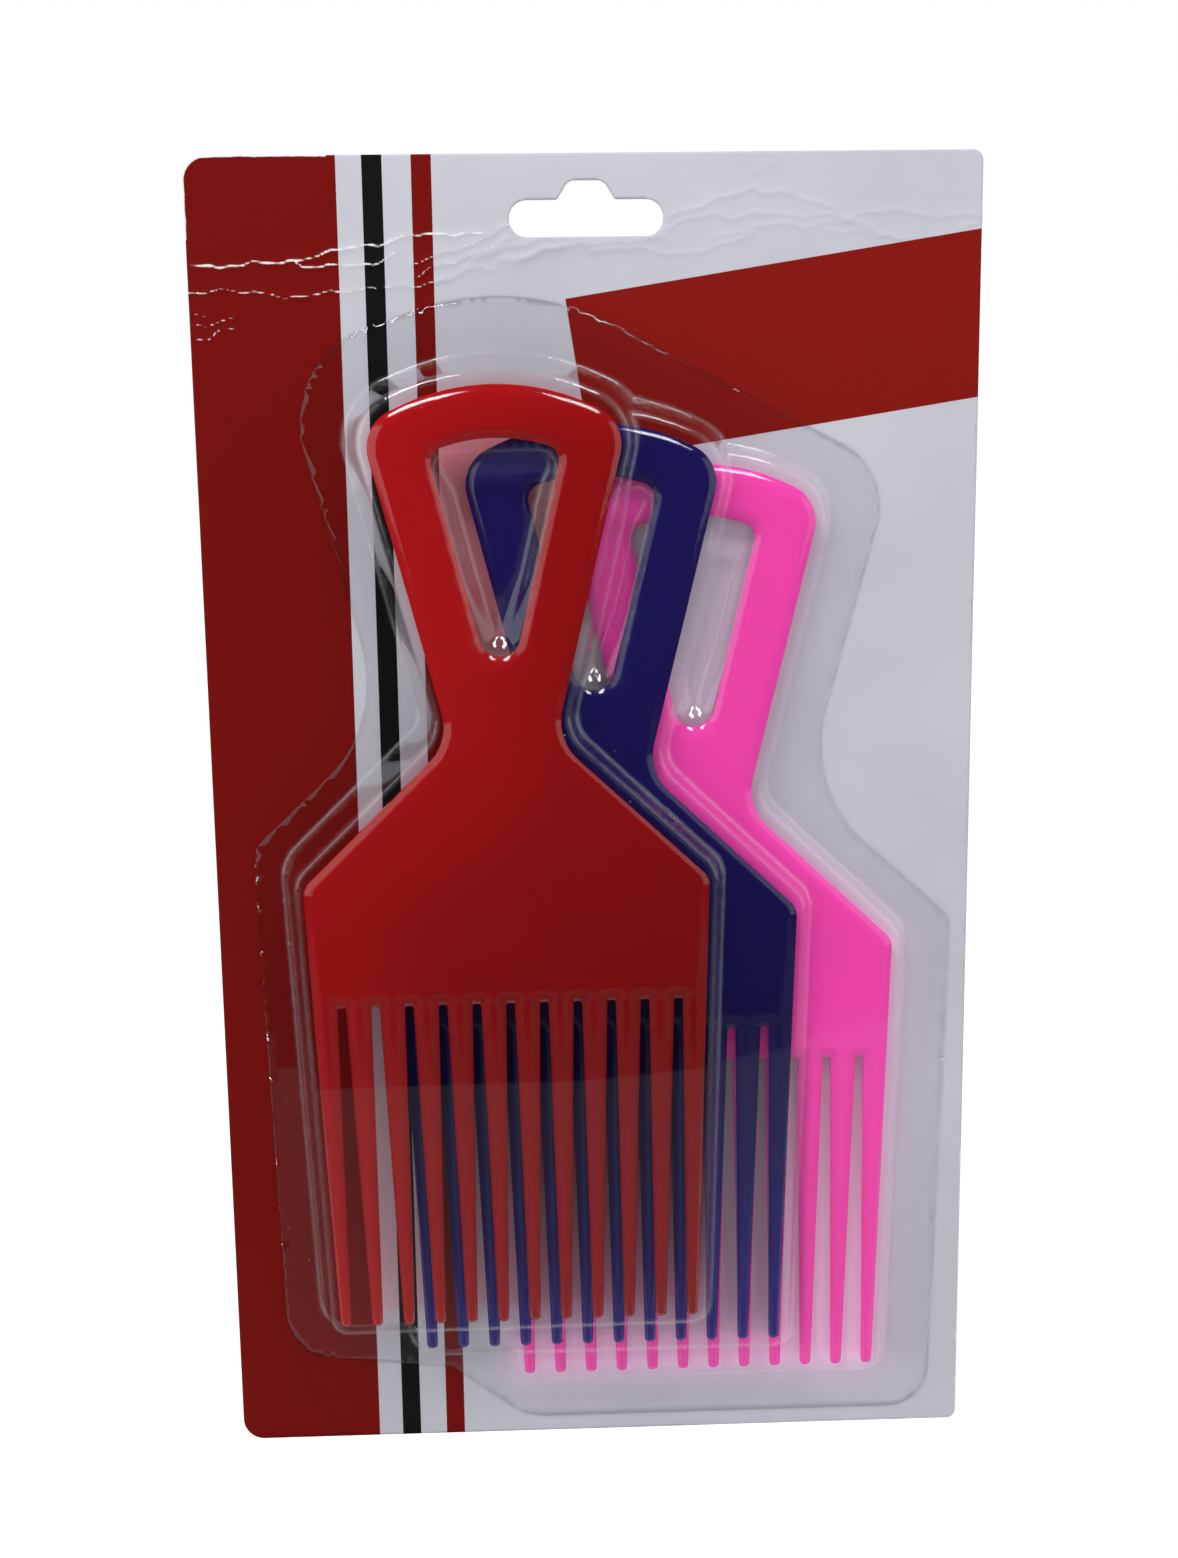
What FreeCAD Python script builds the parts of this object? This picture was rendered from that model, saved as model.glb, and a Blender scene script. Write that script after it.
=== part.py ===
import FreeCAD, Part
import math
import os

# A carded set of three one-piece hair picks under a clear blister, in millimetres.
# X runs across the card, Z up, and the front faces -Y.
# The origin is the crown of the hang slot, on the card's front face.

# Printed card and its hang slot
CARD_WIDTH = 155.0
CARD_HEIGHT = 267.0
CARD_THICKNESS = 0.6
CARD_LEFT_CORNER = 4.5
CARD_RIGHT_CORNER = 2.0
CROWN_BELOW_CARD_TOP = 5.1
SLOT_WIDTH = 30.0
SLOT_HEIGHT = 7.0
SLOT_END_RADIUS = 3.4
SLOT_NOTCH_HEIGHT = 3.6
SLOT_NOTCH_FOOT_HALF = 5.6
SLOT_NOTCH_TOP_HALF = 3.4
SLOT_NOTCH_FOOT_RADIUS = 0.8
SLOT_NOTCH_TOP_RADIUS = 2.2

# Outline of one pick, measured up from the tips of its teeth
PICK_LENGTH = 192.8
PICK_THICKNESS = 3.5
CROWN_RADIUS = 35.0
HANDLE_CORNER_HALF = 25.9
HANDLE_CORNER_HEIGHT = 185.3
HANDLE_CORNER_RADIUS = 7.8
NECK_HALF = 10.5
NECK_HEIGHT = 123.4
NECK_RADIUS = 10.5
SHOULDER_HALF = 40.9
SHOULDER_HEIGHT = 94.4
SHOULDER_RADIUS = 3.8
BODY_ROUND = 1.4

# Finger hole in the handle, a rounded wedge
HOLE_TOP = 182.6
HOLE_CROWN_RADIUS = 32.0
HOLE_CORNER_HALF = 13.0
HOLE_CORNER_HEIGHT = 180.2
HOLE_CORNER_RADIUS = 3.0
HOLE_POINT_HEIGHT = 127.4
HOLE_POINT_RADIUS = 4.0

# Teeth, which draw together a little and thin down towards their tips
TOOTH_COUNT = 12
TOOTH_PITCH_ROOT = 6.85
TOOTH_PITCH_TIP = 6.6
TOOTH_WIDTH_ROOT = 5.15
TOOTH_WIDTH_TIP = 2.2
TOOTH_TIP_RADIUS = 0.95
TOOTH_TIP_THICKNESS = 2.3
TOOTH_ROUND = 0.75
GAP_ROOT_HEIGHT = 69.4
GAP_ROOT_RADIUS = 0.6
THINNING_START = 76.0

# Places of the picks: name, middle of the tips across and up, lean to the left in degrees,
# and layer out from the card
PICK_PLACES = (
    ("pink_pick", 20.95, -247.2, 0.2, 0),
    ("blue_pick", 0.4, -238.9, 0.1, 1),
    ("red_pick", -17.3, -231.4, 0.43, 2),
)
LAYER_GAP = 0.3

# Blister: film, pockets and wells that dip into the finger holes
FILM = 0.4
POCKET_HEADROOM = 0.4
POCKET_SIDE_GAP = 1.2
POCKET_FOOT_GAP = 0.6
POCKET_CORNER_RADIUS = 2.0
LIFT = 1.2
WALL_SLOPE = math.tan(math.radians(15.0))
POCKET_EDGE_ROUND = 1.5
WELL_DEPTH = 3.3
WELL_GAP = 0.7
WELL_SIDE_SLOPE = 0.35
WELL_TOP_SLOPE = 0.9
WELL_POINT_RADIUS = 5.0
WELL_CORNER_RADIUS = 4.0

# Rim of the flange on the card, counter-clockwise from its lower left: across, up, corner radius
FLANGE_CORNERS = (
    (-67.0, -242.4, 10.0),
    (-32.0, -246.4, 12.0),
    (-16.0, -258.4, 12.0),
    (70.8, -258.4, 9.0),
    (74.0, -148.4, 6.0),
    (43.1, -120.3, 28.0),
    (60.4, -56.0, 14.0),
    (-14.0, -17.2, 50.0),
    (-61.0, -33.4, 20.0),
    (-42.2, -105.6, 28.0),
    (-69.8, -131.1, 6.0),
)

# Room that a cutting solid reaches past the face it cuts
OVERSHOOT = 1.0
SMALLEST_RADIUS = 0.3
SHORTEST_RUN = 1e-4


def unit_between(first, second):
    """Unit direction in the XZ plane from one corner to another."""
    across = second[0] - first[0]
    up = second[1] - first[1]
    reach = math.hypot(across, up)
    return across / reach, up / reach


def corner_arc(before, corner, after):
    """Start, middle and end of the arc that rounds a corner (x, z, radius)."""
    x, z, radius = corner
    back = unit_between(corner, before)
    ahead = unit_between(corner, after)
    half_angle = math.acos(max(-1.0, min(1.0, back[0] * ahead[0] + back[1] * ahead[1]))) / 2
    run = radius / math.tan(half_angle)
    middle_run = radius / math.sin(half_angle) - radius
    bisector = unit_between((0.0, 0.0), (back[0] + ahead[0], back[1] + ahead[1]))
    start = (x + back[0] * run, z + back[1] * run)
    middle = (x + bisector[0] * middle_run, z + bisector[1] * middle_run)
    end = (x + ahead[0] * run, z + ahead[1] * run)
    return start, middle, end


def rounded_wire(corners, height):
    """Closed wire of lines and arcs through rounded corners, at a height in front of the card."""
    arcs = []
    for index, corner in enumerate(corners):
        after = corners[(index + 1) % len(corners)]
        arc = corner_arc(corners[index - 1], corner, after)
        arcs.append([FreeCAD.Vector(x, -height, z) for x, z in arc])
    edges = []
    for arc, following in zip(arcs, arcs[1:] + arcs[:1]):
        edges.append(Part.Arc(*arc).toShape())
        if (following[0] - arc[2]).Length > SHORTEST_RUN:
            edges.append(Part.LineSegment(arc[2], following[0]).toShape())
    return Part.Wire(edges)


def offset_corners(corners, distances):
    """Corners of the same loop with each side moved outwards by its own distance."""
    count = len(corners)
    sides = [unit_between(corners[i], corners[(i + 1) % count]) for i in range(count)]
    moved = []
    for index, (x, z, radius) in enumerate(corners):
        before = sides[index - 1]
        after = sides[index]
        turn = before[0] * after[1] - before[1] * after[0]
        first = distances[index - 1]
        second = distances[index]
        shift_x = (after[0] * first - before[0] * second) / -turn
        shift_z = (after[1] * first - before[1] * second) / -turn
        growth = math.copysign(1.0, turn) * (first + second) / 2
        moved.append((x + shift_x, z + shift_z, max(SMALLEST_RADIUS, radius + growth)))
    return moved


def placed(corners, across, up, lean):
    """Corners leaned to the left about their origin, then moved within the card's plane."""
    cosine = math.cos(math.radians(lean))
    sine = math.sin(math.radians(lean))
    return [(x * cosine - z * sine + across, x * sine + z * cosine + up, radius) for x, z, radius in corners]


def mirrored_half(right_half):
    """Left half of a loop, downwards, from its right half upwards."""
    return [(-x, z, radius) for x, z, radius in reversed(right_half)]


def mirrored(right_half, apex):
    """Counter-clockwise run of corners: right half upwards, apex, left half downwards."""
    return right_half + [apex] + mirrored_half(right_half)


def crown_apex(top, radius, corner_half, corner_height):
    """Height where the two lines meet that run from a crown arc to its corners."""
    centre = top - radius
    reach = math.hypot(corner_half, corner_height - centre)
    lean = math.atan2(corner_half, corner_height - centre) - math.acos(radius / reach)
    return centre + radius / math.cos(lean)


def prism(corners, low, high):
    """Straight-walled solid between two heights in front of the card."""
    face = Part.Face(rounded_wire(corners, low))
    return face.extrude(FreeCAD.Vector(0, low - high, 0))


def tapered(corners, distances, slopes, level, low, high):
    """Solid whose sides stand at their distances at a level and spread by their slopes below it."""
    wires = []
    for height in (low, high):
        fall = level - height
        spread = [distance + slope * fall for distance, slope in zip(distances, slopes)]
        wires.append(rounded_wire(offset_corners(corners, spread), height))
    return Part.makeLoft(wires, True, True)


def body_corners():
    """Right half of the pick's outline above its teeth, upwards."""
    return [
        (SHOULDER_HALF, SHOULDER_HEIGHT, SHOULDER_RADIUS),
        (NECK_HALF, NECK_HEIGHT, NECK_RADIUS),
        (HANDLE_CORNER_HALF, HANDLE_CORNER_HEIGHT, HANDLE_CORNER_RADIUS),
    ]


def handle_apex():
    """Top corner of the handle, rounded by its crown arc."""
    height = crown_apex(PICK_LENGTH, CROWN_RADIUS, HANDLE_CORNER_HALF, HANDLE_CORNER_HEIGHT)
    return 0.0, height, CROWN_RADIUS


def hole_corners():
    """Finger hole: two top corners, crown and rounded point, counter-clockwise."""
    apex = crown_apex(HOLE_TOP, HOLE_CROWN_RADIUS, HOLE_CORNER_HALF, HOLE_CORNER_HEIGHT)
    return [
        (0.0, HOLE_POINT_HEIGHT, HOLE_POINT_RADIUS),
        (HOLE_CORNER_HALF, HOLE_CORNER_HEIGHT, HOLE_CORNER_RADIUS),
        (0.0, apex, HOLE_CROWN_RADIUS),
        (-HOLE_CORNER_HALF, HOLE_CORNER_HEIGHT, HOLE_CORNER_RADIUS),
    ]


def well_corners():
    """Plain wedge inside the finger hole, whose blunt point leaves the pick room to lift."""
    return [
        (0.0, HOLE_POINT_HEIGHT, WELL_POINT_RADIUS),
        (HOLE_CORNER_HALF, HOLE_CORNER_HEIGHT, WELL_CORNER_RADIUS),
        (-HOLE_CORNER_HALF, HOLE_CORNER_HEIGHT, WELL_CORNER_RADIUS),
    ]


def tooth_corners():
    """Tips and gap roots of all the teeth, from left to right."""
    corners = []
    for tooth in range(TOOTH_COUNT):
        place = tooth - (TOOTH_COUNT - 1) / 2
        tip = place * TOOTH_PITCH_TIP
        root = place * TOOTH_PITCH_ROOT
        if tooth > 0:
            corners.append((root - TOOTH_WIDTH_ROOT / 2, GAP_ROOT_HEIGHT, GAP_ROOT_RADIUS))
        corners.append((tip - TOOTH_WIDTH_TIP / 2, 0.0, TOOTH_TIP_RADIUS))
        corners.append((tip + TOOTH_WIDTH_TIP / 2, 0.0, TOOTH_TIP_RADIUS))
        if tooth < TOOTH_COUNT - 1:
            corners.append((root + TOOTH_WIDTH_ROOT / 2, GAP_ROOT_HEIGHT, GAP_ROOT_RADIUS))
    return corners


def pick_outline():
    """Whole outer loop of a pick with its teeth."""
    return tooth_corners() + mirrored(body_corners(), handle_apex())


def pocket_outline():
    """Outer loop of a pick with the row of tips as one straight foot."""
    foot_half = (TOOTH_COUNT - 1) / 2 * TOOTH_PITCH_TIP + TOOTH_WIDTH_TIP / 2
    foot = (foot_half, 0.0, POCKET_CORNER_RADIUS)
    return mirrored([foot] + body_corners(), handle_apex())


def pocket_distances(gap, foot_gap):
    """Side distances of a pocket: foot, sides, and the shoulders and crown that leave room to lift."""
    right = [gap, gap + LIFT, gap, gap + LIFT]
    return right + list(reversed(right)) + [foot_gap]


def thickness_profile():
    """Side view of a pick: flat body, and faces that slope in towards the tips of the teeth."""
    half = PICK_THICKNESS / 2
    tip_half = TOOTH_TIP_THICKNESS / 2
    front = [(-half, PICK_LENGTH), (-half, THINNING_START), (-tip_half, 0.0)]
    back = [(-depth, height) for depth, height in reversed(front)]
    points = [FreeCAD.Vector(-SHOULDER_HALF, depth, height) for depth, height in front + back]
    return Part.Face(Part.makePolygon(points + points[:1]))


def runs_through(edge):
    """True for an edge that runs through the thickness of a pick."""
    return edge.BoundBox.YLength > TOOTH_TIP_THICKNESS - SHORTEST_RUN


def crosses_face(edge):
    """True for the line across a face where the teeth start to thin."""
    box = edge.BoundBox
    return box.ZLength < SHORTEST_RUN and abs(box.ZMin - THINNING_START) < SHORTEST_RUN


def rounding(vertex):
    """Rounding at one end of a rim edge: large on the body, small on the teeth."""
    return BODY_ROUND if vertex.Z > THINNING_START - SHORTEST_RUN else TOOTH_ROUND


def rounded_rim(blank):
    """Solid with its rim edges rounded, the rounding fading along the sides of the outer teeth."""
    document = FreeCAD.newDocument()
    source = document.addObject("Part::Feature")
    source.Shape = blank
    fillet = document.addObject("Part::Fillet")
    fillet.Base = source
    rims = []
    for number, edge in enumerate(blank.Edges, 1):
        if not runs_through(edge) and not crosses_face(edge):
            ends = edge.Vertexes
            rims.append((number, rounding(ends[0]), rounding(ends[-1])))
    fillet.Edges = rims
    document.recompute()
    return fillet.Shape.Solids[0]


def make_pick():
    """One moulded pick standing on its tips, centred on the thickness, with its edges rounded."""
    half = PICK_THICKNESS / 2
    blank = prism(pick_outline(), -half, half).cut(prism(hole_corners(), -half, half))
    blank = blank.common(thickness_profile().extrude(FreeCAD.Vector(2 * SHOULDER_HALF, 0, 0)))
    return rounded_rim(blank)


def layer_centre(layer):
    """Height of a pick's middle plane in front of the card."""
    return LAYER_GAP + layer * (PICK_THICKNESS + LAYER_GAP) + PICK_THICKNESS / 2


def pocket_level(layer):
    """Height of a pocket's inner front face."""
    return layer_centre(layer) + PICK_THICKNESS / 2 + POCKET_HEADROOM


def rounded_front(solid, level, radius):
    """Solid with the edges of its front face rounded."""
    front = [face for face in solid.Faces if abs(face.CenterOfMass.y + level) < SHORTEST_RUN]
    return solid.makeFillet(radius, front[0].Edges)


def make_pocket(across, tips, lean, layer, film):
    """One pocket with the well in its finger hole, grown outwards by a film thickness."""
    level = pocket_level(layer) + film
    outline = placed(pocket_outline(), across, tips, lean)
    side_gap = POCKET_SIDE_GAP + film
    distances = pocket_distances(side_gap, POCKET_FOOT_GAP + film)
    slopes = [WALL_SLOPE] * len(outline)
    pocket = tapered(outline, distances, slopes, level, film - FILM, level)
    pocket = rounded_front(pocket, level, POCKET_EDGE_ROUND + film - FILM)
    wedge = placed(well_corners(), across, tips, lean)
    distances = [-WELL_GAP - film] * len(wedge)
    slopes = [-WELL_SIDE_SLOPE, -WELL_TOP_SLOPE, -WELL_SIDE_SLOPE]
    floor = level - WELL_DEPTH
    return pocket.cut(tapered(wedge, distances, slopes, level, floor, level + OVERSHOOT))


def make_blister():
    """Thermoformed film: a flange and three stepped pockets, open towards the card."""
    outside = prism(FLANGE_CORNERS, 0.0, FILM)
    for name, *place in PICK_PLACES:
        outside = outside.fuse(make_pocket(*place, FILM))
    for name, *place in PICK_PLACES:
        outside = outside.cut(make_pocket(*place, 0.0))
    return outside


def slot_corners():
    """Hang slot with rounded ends and a blunt notch on top, whose crown is at the origin."""
    slot_half = SLOT_WIDTH / 2
    slot_top = -SLOT_NOTCH_HEIGHT
    slot_foot = slot_top - SLOT_HEIGHT
    right = [
        (slot_half, slot_foot, SLOT_END_RADIUS),
        (slot_half, slot_top, SLOT_END_RADIUS),
        (SLOT_NOTCH_FOOT_HALF, slot_top, SLOT_NOTCH_FOOT_RADIUS),
        (SLOT_NOTCH_TOP_HALF, 0.0, SLOT_NOTCH_TOP_RADIUS),
    ]
    return right + mirrored_half(right)


def make_card():
    """Printed board with rounded corners and a notched hang slot."""
    top = CROWN_BELOW_CARD_TOP
    foot = top - CARD_HEIGHT
    half = CARD_WIDTH / 2
    corners = [
        (half, foot, CARD_RIGHT_CORNER),
        (half, top, CARD_RIGHT_CORNER),
        (-half, top, CARD_LEFT_CORNER),
        (-half, foot, CARD_LEFT_CORNER),
    ]
    board = prism(corners, -CARD_THICKNESS, 0.0)
    return board.cut(prism(slot_corners(), -CARD_THICKNESS - OVERSHOOT, OVERSHOOT))


def main():
    """Build every piece in place and write one file for each."""
    os.makedirs("parts", exist_ok=True)
    pieces = {"backing_card": make_card(), "blister": make_blister()}
    pick = make_pick()
    for name, across, tips, lean, layer in PICK_PLACES:
        moved = pick.copy()
        moved.rotate(FreeCAD.Vector(), FreeCAD.Vector(0, -1, 0), lean)
        moved.translate(FreeCAD.Vector(across, -layer_centre(layer), tips))
        pieces[name] = moved
    for name, shape in pieces.items():
        print(name, shape.isValid(), len(shape.Solids), len(shape.Faces), round(shape.Volume, 1))
        shape.exportStep("parts/" + name + ".step")


main()
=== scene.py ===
"""Looks of a carded set of three moulded hair picks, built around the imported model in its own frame.

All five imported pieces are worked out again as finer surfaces: a creased board with worn edges, a
thermoformed film that steps over the picks, and picks with softly domed rims. Sizes are in millimetres,
X across, Z up, the front towards -Y, and become metres where a mesh is written.
"""

import logging
import math
from abc import ABC, abstractmethod
from dataclasses import dataclass, field
from enum import Enum
from typing import Any, NamedTuple, Sequence, Union

import bpy
import numpy as np
from mathutils import Matrix, Vector
from mathutils.geometry import delaunay_2d_cdt


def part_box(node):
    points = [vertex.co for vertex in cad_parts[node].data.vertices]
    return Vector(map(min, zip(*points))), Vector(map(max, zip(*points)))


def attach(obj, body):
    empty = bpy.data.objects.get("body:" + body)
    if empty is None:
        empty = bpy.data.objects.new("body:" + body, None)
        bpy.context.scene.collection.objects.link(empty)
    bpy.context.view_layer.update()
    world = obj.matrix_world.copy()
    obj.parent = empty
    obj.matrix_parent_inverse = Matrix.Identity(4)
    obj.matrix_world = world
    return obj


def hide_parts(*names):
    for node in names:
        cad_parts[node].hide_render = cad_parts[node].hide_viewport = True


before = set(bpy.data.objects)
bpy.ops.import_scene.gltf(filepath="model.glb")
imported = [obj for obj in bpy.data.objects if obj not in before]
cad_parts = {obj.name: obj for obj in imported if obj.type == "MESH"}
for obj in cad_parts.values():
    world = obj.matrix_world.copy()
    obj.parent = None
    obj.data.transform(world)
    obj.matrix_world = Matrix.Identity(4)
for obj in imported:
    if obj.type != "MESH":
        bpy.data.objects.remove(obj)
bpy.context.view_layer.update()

Array = np.ndarray
Colour = tuple[float, float, float]
Corner = tuple[float, float, float]
Place = tuple[float, float, float]
Path = tuple[tuple[float, float], ...]
Term = Union["Wire", float]

LOG = logging.getLogger("carded_picks")
METRE = 0.001
CARD_BODY = "carded_blister"
WHITE: Colour = (1.0, 1.0, 1.0)
NOISE_MIDDLE = 0.5
# Sockets of the Mix node that take and give colours
FIRST_COLOUR, SECOND_COLOUR, MIXED_COLOUR = 6, 7, 2
# Distance between points on the arcs of loops that shape the film, and of loops that only shade
LOOP_STEP, SHADE_STEP = 0.3, 0.8
# Least radius of a corner that an offset tightens
LEAST_RADIUS = 0.3
# Height of an equal-sided triangle against its side
TRIANGLE_HEIGHT = math.sqrt(0.75)
# Output of the triangulation that fills the whole hull, and the distance at which it merges points
WHOLE_HULL, MERGE_DISTANCE = 0, 1e-6
# Double area below which a triangle is dropped, and squared length that keeps a division finite
LEAST_AREA, LEAST_SQUARE = 1e-7, 1e-12


class Patches(NamedTuple):
    """Noise on a surface.

    Attributes:
        size: Size of a patch in millimetres.
        detail: Octaves of finer noise.
        stretch: How much finer the patches are along each axis.
    """

    size: float
    detail: float
    stretch: Place = (1.0, 1.0, 1.0)


class Wave(NamedTuple):
    """A sine wave.

    Attributes:
        height: Height of its crests.
        length: Length of one radian.
    """

    height: float
    length: float

    def at(self, places: Array) -> Array:
        """Height * sin(place / length)."""
        return self.height * np.sin(places / self.length)


class Wire:
    """A node's output that takes part in arithmetic: every operation adds a Math node."""

    def __init__(self, sheet: "NodeSheet", socket: bpy.types.NodeSocket) -> None:
        """Keeps the sheet that the operations add their nodes to, and the output."""
        self.sheet = sheet
        self.socket = socket

    def __add__(self, other: Term) -> "Wire":
        """Sum."""
        return self.sheet.math("ADD", self, other)

    def __radd__(self, other: float) -> "Wire":
        """Sum with a number on the left."""
        return self.sheet.math("ADD", other, self)

    def __sub__(self, other: Term) -> "Wire":
        """Difference."""
        return self.sheet.math("SUBTRACT", self, other)

    def __rsub__(self, other: float) -> "Wire":
        """Difference from a number."""
        return self.sheet.math("SUBTRACT", other, self)

    def __mul__(self, other: Term) -> "Wire":
        """Product."""
        return self.sheet.math("MULTIPLY", self, other)

    def __rmul__(self, other: float) -> "Wire":
        """Product with a number on the left."""
        return self.sheet.math("MULTIPLY", other, self)

    def __pow__(self, power: float) -> "Wire":
        """Power."""
        return self.sheet.math("POWER", self, power)

    def __gt__(self, other: Term) -> "Wire":
        """One where greater, else nought."""
        return self.sheet.math("GREATER_THAN", self, other)

    def __lt__(self, other: Term) -> "Wire":
        """One where less, else nought."""
        return self.sheet.math("LESS_THAN", self, other)

    def __or__(self, other: "Wire") -> "Wire":
        """The greater of two masks."""
        return self.sheet.math("MAXIMUM", self, other)

    def ramp(self, low: float, high: float) -> "Wire":
        """Smooth step.

        Args:
            low: Value where it is nought.
            high: Value where it is one.

        Returns:
            3 t^2 - 2 t^3, with t the place between low and high.
        """
        settings = {"interpolation_type": "SMOOTHSTEP"}
        inputs = {"Value": self, "From Min": low, "From Max": high}
        return self.sheet.wire("ShaderNodeMapRange", settings, inputs)


class NodeSheet:
    """Adds nodes to one shader tree."""

    def __init__(self, tree: bpy.types.NodeTree) -> None:
        """Starts from an empty tree."""
        self.tree = tree
        tree.nodes.clear()

    def node(self, kind: str, settings: dict[str, Any], inputs: dict[Union[str, int], Any]) -> bpy.types.Node:
        """Adds one node.

        Args:
            kind: Blender's type name of the node.
            settings: Properties of the node, set first.
            inputs: Numbers, colours or wires for its sockets, by name or index.

        Returns:
            The node.
        """
        made = self.tree.nodes.new(kind)
        for name, value in settings.items():
            setattr(made, name, value)
        for name, value in inputs.items():
            socket = made.inputs[name]
            if isinstance(value, Wire):
                self.tree.links.new(value.socket, socket)
            elif isinstance(value, tuple) and len(value) == 3 and socket.type == "RGBA":
                socket.default_value = (*value, 1.0)
            else:
                socket.default_value = value
        return made

    def wire(self, kind: str, settings: dict[str, Any], inputs: dict[Union[str, int], Any],
             output: Union[str, int] = 0) -> Wire:
        """Adds one node and gives one of its outputs, with the arguments of node()."""
        return Wire(self, self.node(kind, settings, inputs).outputs[output])

    def math(self, operation: str, *terms: Term) -> Wire:
        """Adds one Math node on wires and numbers."""
        return self.wire("ShaderNodeMath", {"operation": operation}, dict(enumerate(terms)))

    def mix(self, factor: Term, first: Union[Wire, Colour], second: Union[Wire, Colour]) -> Wire:
        """Mixes two colours, the second where the factor is one."""
        inputs = {"Factor": factor, FIRST_COLOUR: first, SECOND_COLOUR: second}
        return self.wire("ShaderNodeMix", {"data_type": "RGBA"}, inputs, MIXED_COLOUR)

    def blend(self, factor: Term, first: Wire, second: Wire) -> Wire:
        """Mixes two shaders, the second where the factor is one."""
        return self.wire("ShaderNodeMixShader", {}, {0: factor, 1: first, 2: second})

    def coordinates(self) -> Wire:
        """Object coordinates, in metres, of a piece that sits at the origin."""
        return self.wire("ShaderNodeTexCoord", {}, {}, "Object")

    def axes(self) -> tuple[Wire, Wire, Wire]:
        """Object coordinates of a piece that sits at the origin.

        Returns:
            Place across, in depth and up, in millimetres.
        """
        parts = self.node("ShaderNodeSeparateXYZ", {}, {"Vector": self.coordinates()})
        across, depth, up = (Wire(self, socket) * (1 / METRE) for socket in parts.outputs)
        return across, depth, up

    def noise(self, patches: Patches) -> Wire:
        """Noise from nought to one.

        Args:
            patches: Size, detail and stretch of its patches.

        Returns:
            The noise value.
        """
        vector = self.wire("ShaderNodeMapping", {}, {"Vector": self.coordinates(), "Scale": patches.stretch})
        inputs = {"Vector": vector, "Scale": 1 / (patches.size * METRE), "Detail": patches.detail}
        return self.wire("ShaderNodeTexNoise", {}, inputs)

    def attribute(self, name: str) -> Wire:
        """A number that the mesh carries on its points."""
        return self.wire("ShaderNodeAttribute", {"attribute_name": name}, {}, "Fac")

    def bump(self, height: Wire, depth: float) -> Wire:
        """Normal of a surface with a height from nought to one over a depth in millimetres."""
        inputs = {"Height": height, "Distance": depth * METRE, "Strength": 1.0}
        return self.wire("ShaderNodeBump", {}, inputs)


class Finish(ABC):
    """A surface finish that becomes one material.

    Attributes:
        name: Name of the material.
    """

    name: str

    def material(self) -> bpy.types.Material:
        """Builds the material.

        Returns:
            The material, with a node tree of its own.
        """
        made = bpy.data.materials.new(self.name)
        made.use_nodes = True
        sheet = NodeSheet(made.node_tree)
        sheet.node("ShaderNodeOutputMaterial", {}, {"Surface": self.surface(sheet)})
        return made

    @abstractmethod
    def surface(self, sheet: NodeSheet) -> Wire:
        """Adds the finish's nodes and gives its shader."""


@dataclass(frozen=True)
class MouldedPlastic(Finish):
    """Glossy injection-moulded plastic, a little translucent, with faint flow marks, and with painted light
    and shade in its colour.

    Attributes:
        name: Name of the material.
        colour: Linear colour of the pigment.
        spread: How far red, green and blue light spread inside, against the farthest.
        brightest: Greatest painted light on the pigment, as a factor on its colour.
        dimmest: Deepest painted shade on the pigment, as a factor on its colour.
        clouds: Soft clouds in the pigment.
        cloud_share: How much the clouds lighten or darken the pigment.
        flow: Drawn-out flow marks in the gloss.
        grain: Fine grain of the skin.
        roughness: Roughness of the clean surface, and what the flow marks and the grain add.
        skin: Shares of the flow marks and of the grain in the relief of the skin.
        skin_depth: Depth of that relief.
        refraction: Index of refraction.
        soft_share: Share of light that spreads inside.
        soft_reach: Farthest that it spreads.
    """

    name: str
    colour: Colour
    spread: Colour
    brightest: float = 1.4
    dimmest: float = 0.5
    clouds: Patches = Patches(24.0, 3.0)
    cloud_share: float = 0.08
    flow: Patches = Patches(9.0, 3.0, (1.0, 1.0, 0.12))
    grain: Patches = Patches(0.5, 2.0)
    roughness: tuple[float, float, float] = (0.04, 0.06, 0.04)
    skin: tuple[float, float] = (0.85, 0.15)
    skin_depth: float = 0.012
    refraction: float = 1.5
    soft_share: float = 0.25
    soft_reach: float = 2.0

    def surface(self, sheet: NodeSheet) -> Wire:
        """Pigment lit and shaded by the painted light that the mesh carries, with soft clouds, flow marks and
        the grain of a mould.

        Args:
            sheet: Sheet that takes the nodes.

        Returns:
            The shader, whose colour goes from deep to pale with the painted light and shade.
        """
        flow, grain = sheet.noise(self.flow), sheet.noise(self.grain)
        # Painted light and shade from the mesh, with random clouds in the pigment on top
        light = sheet.attribute("painted_light") + self.cloud_share * (sheet.noise(self.clouds) - NOISE_MIDDLE)
        share = (light - self.dimmest) * (1 / (self.brightest - self.dimmest))
        deep = tuple(self.dimmest * value for value in self.colour)
        pale = tuple(min(1.0, self.brightest * value) for value in self.colour)
        clean, flow_share, grain_share = self.roughness
        inputs = {
            "Base Color": sheet.mix(share, deep, pale),
            "Roughness": clean + flow_share * flow + grain_share * grain,
            "IOR": self.refraction,
            "Normal": sheet.bump(self.skin[0] * flow + self.skin[1] * grain, self.skin_depth),
            "Subsurface Weight": self.soft_share,
            "Subsurface Radius": self.spread,
            "Subsurface Scale": self.soft_reach * METRE,
        }
        return sheet.wire("ShaderNodeBsdfPrincipled", {}, inputs)


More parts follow.
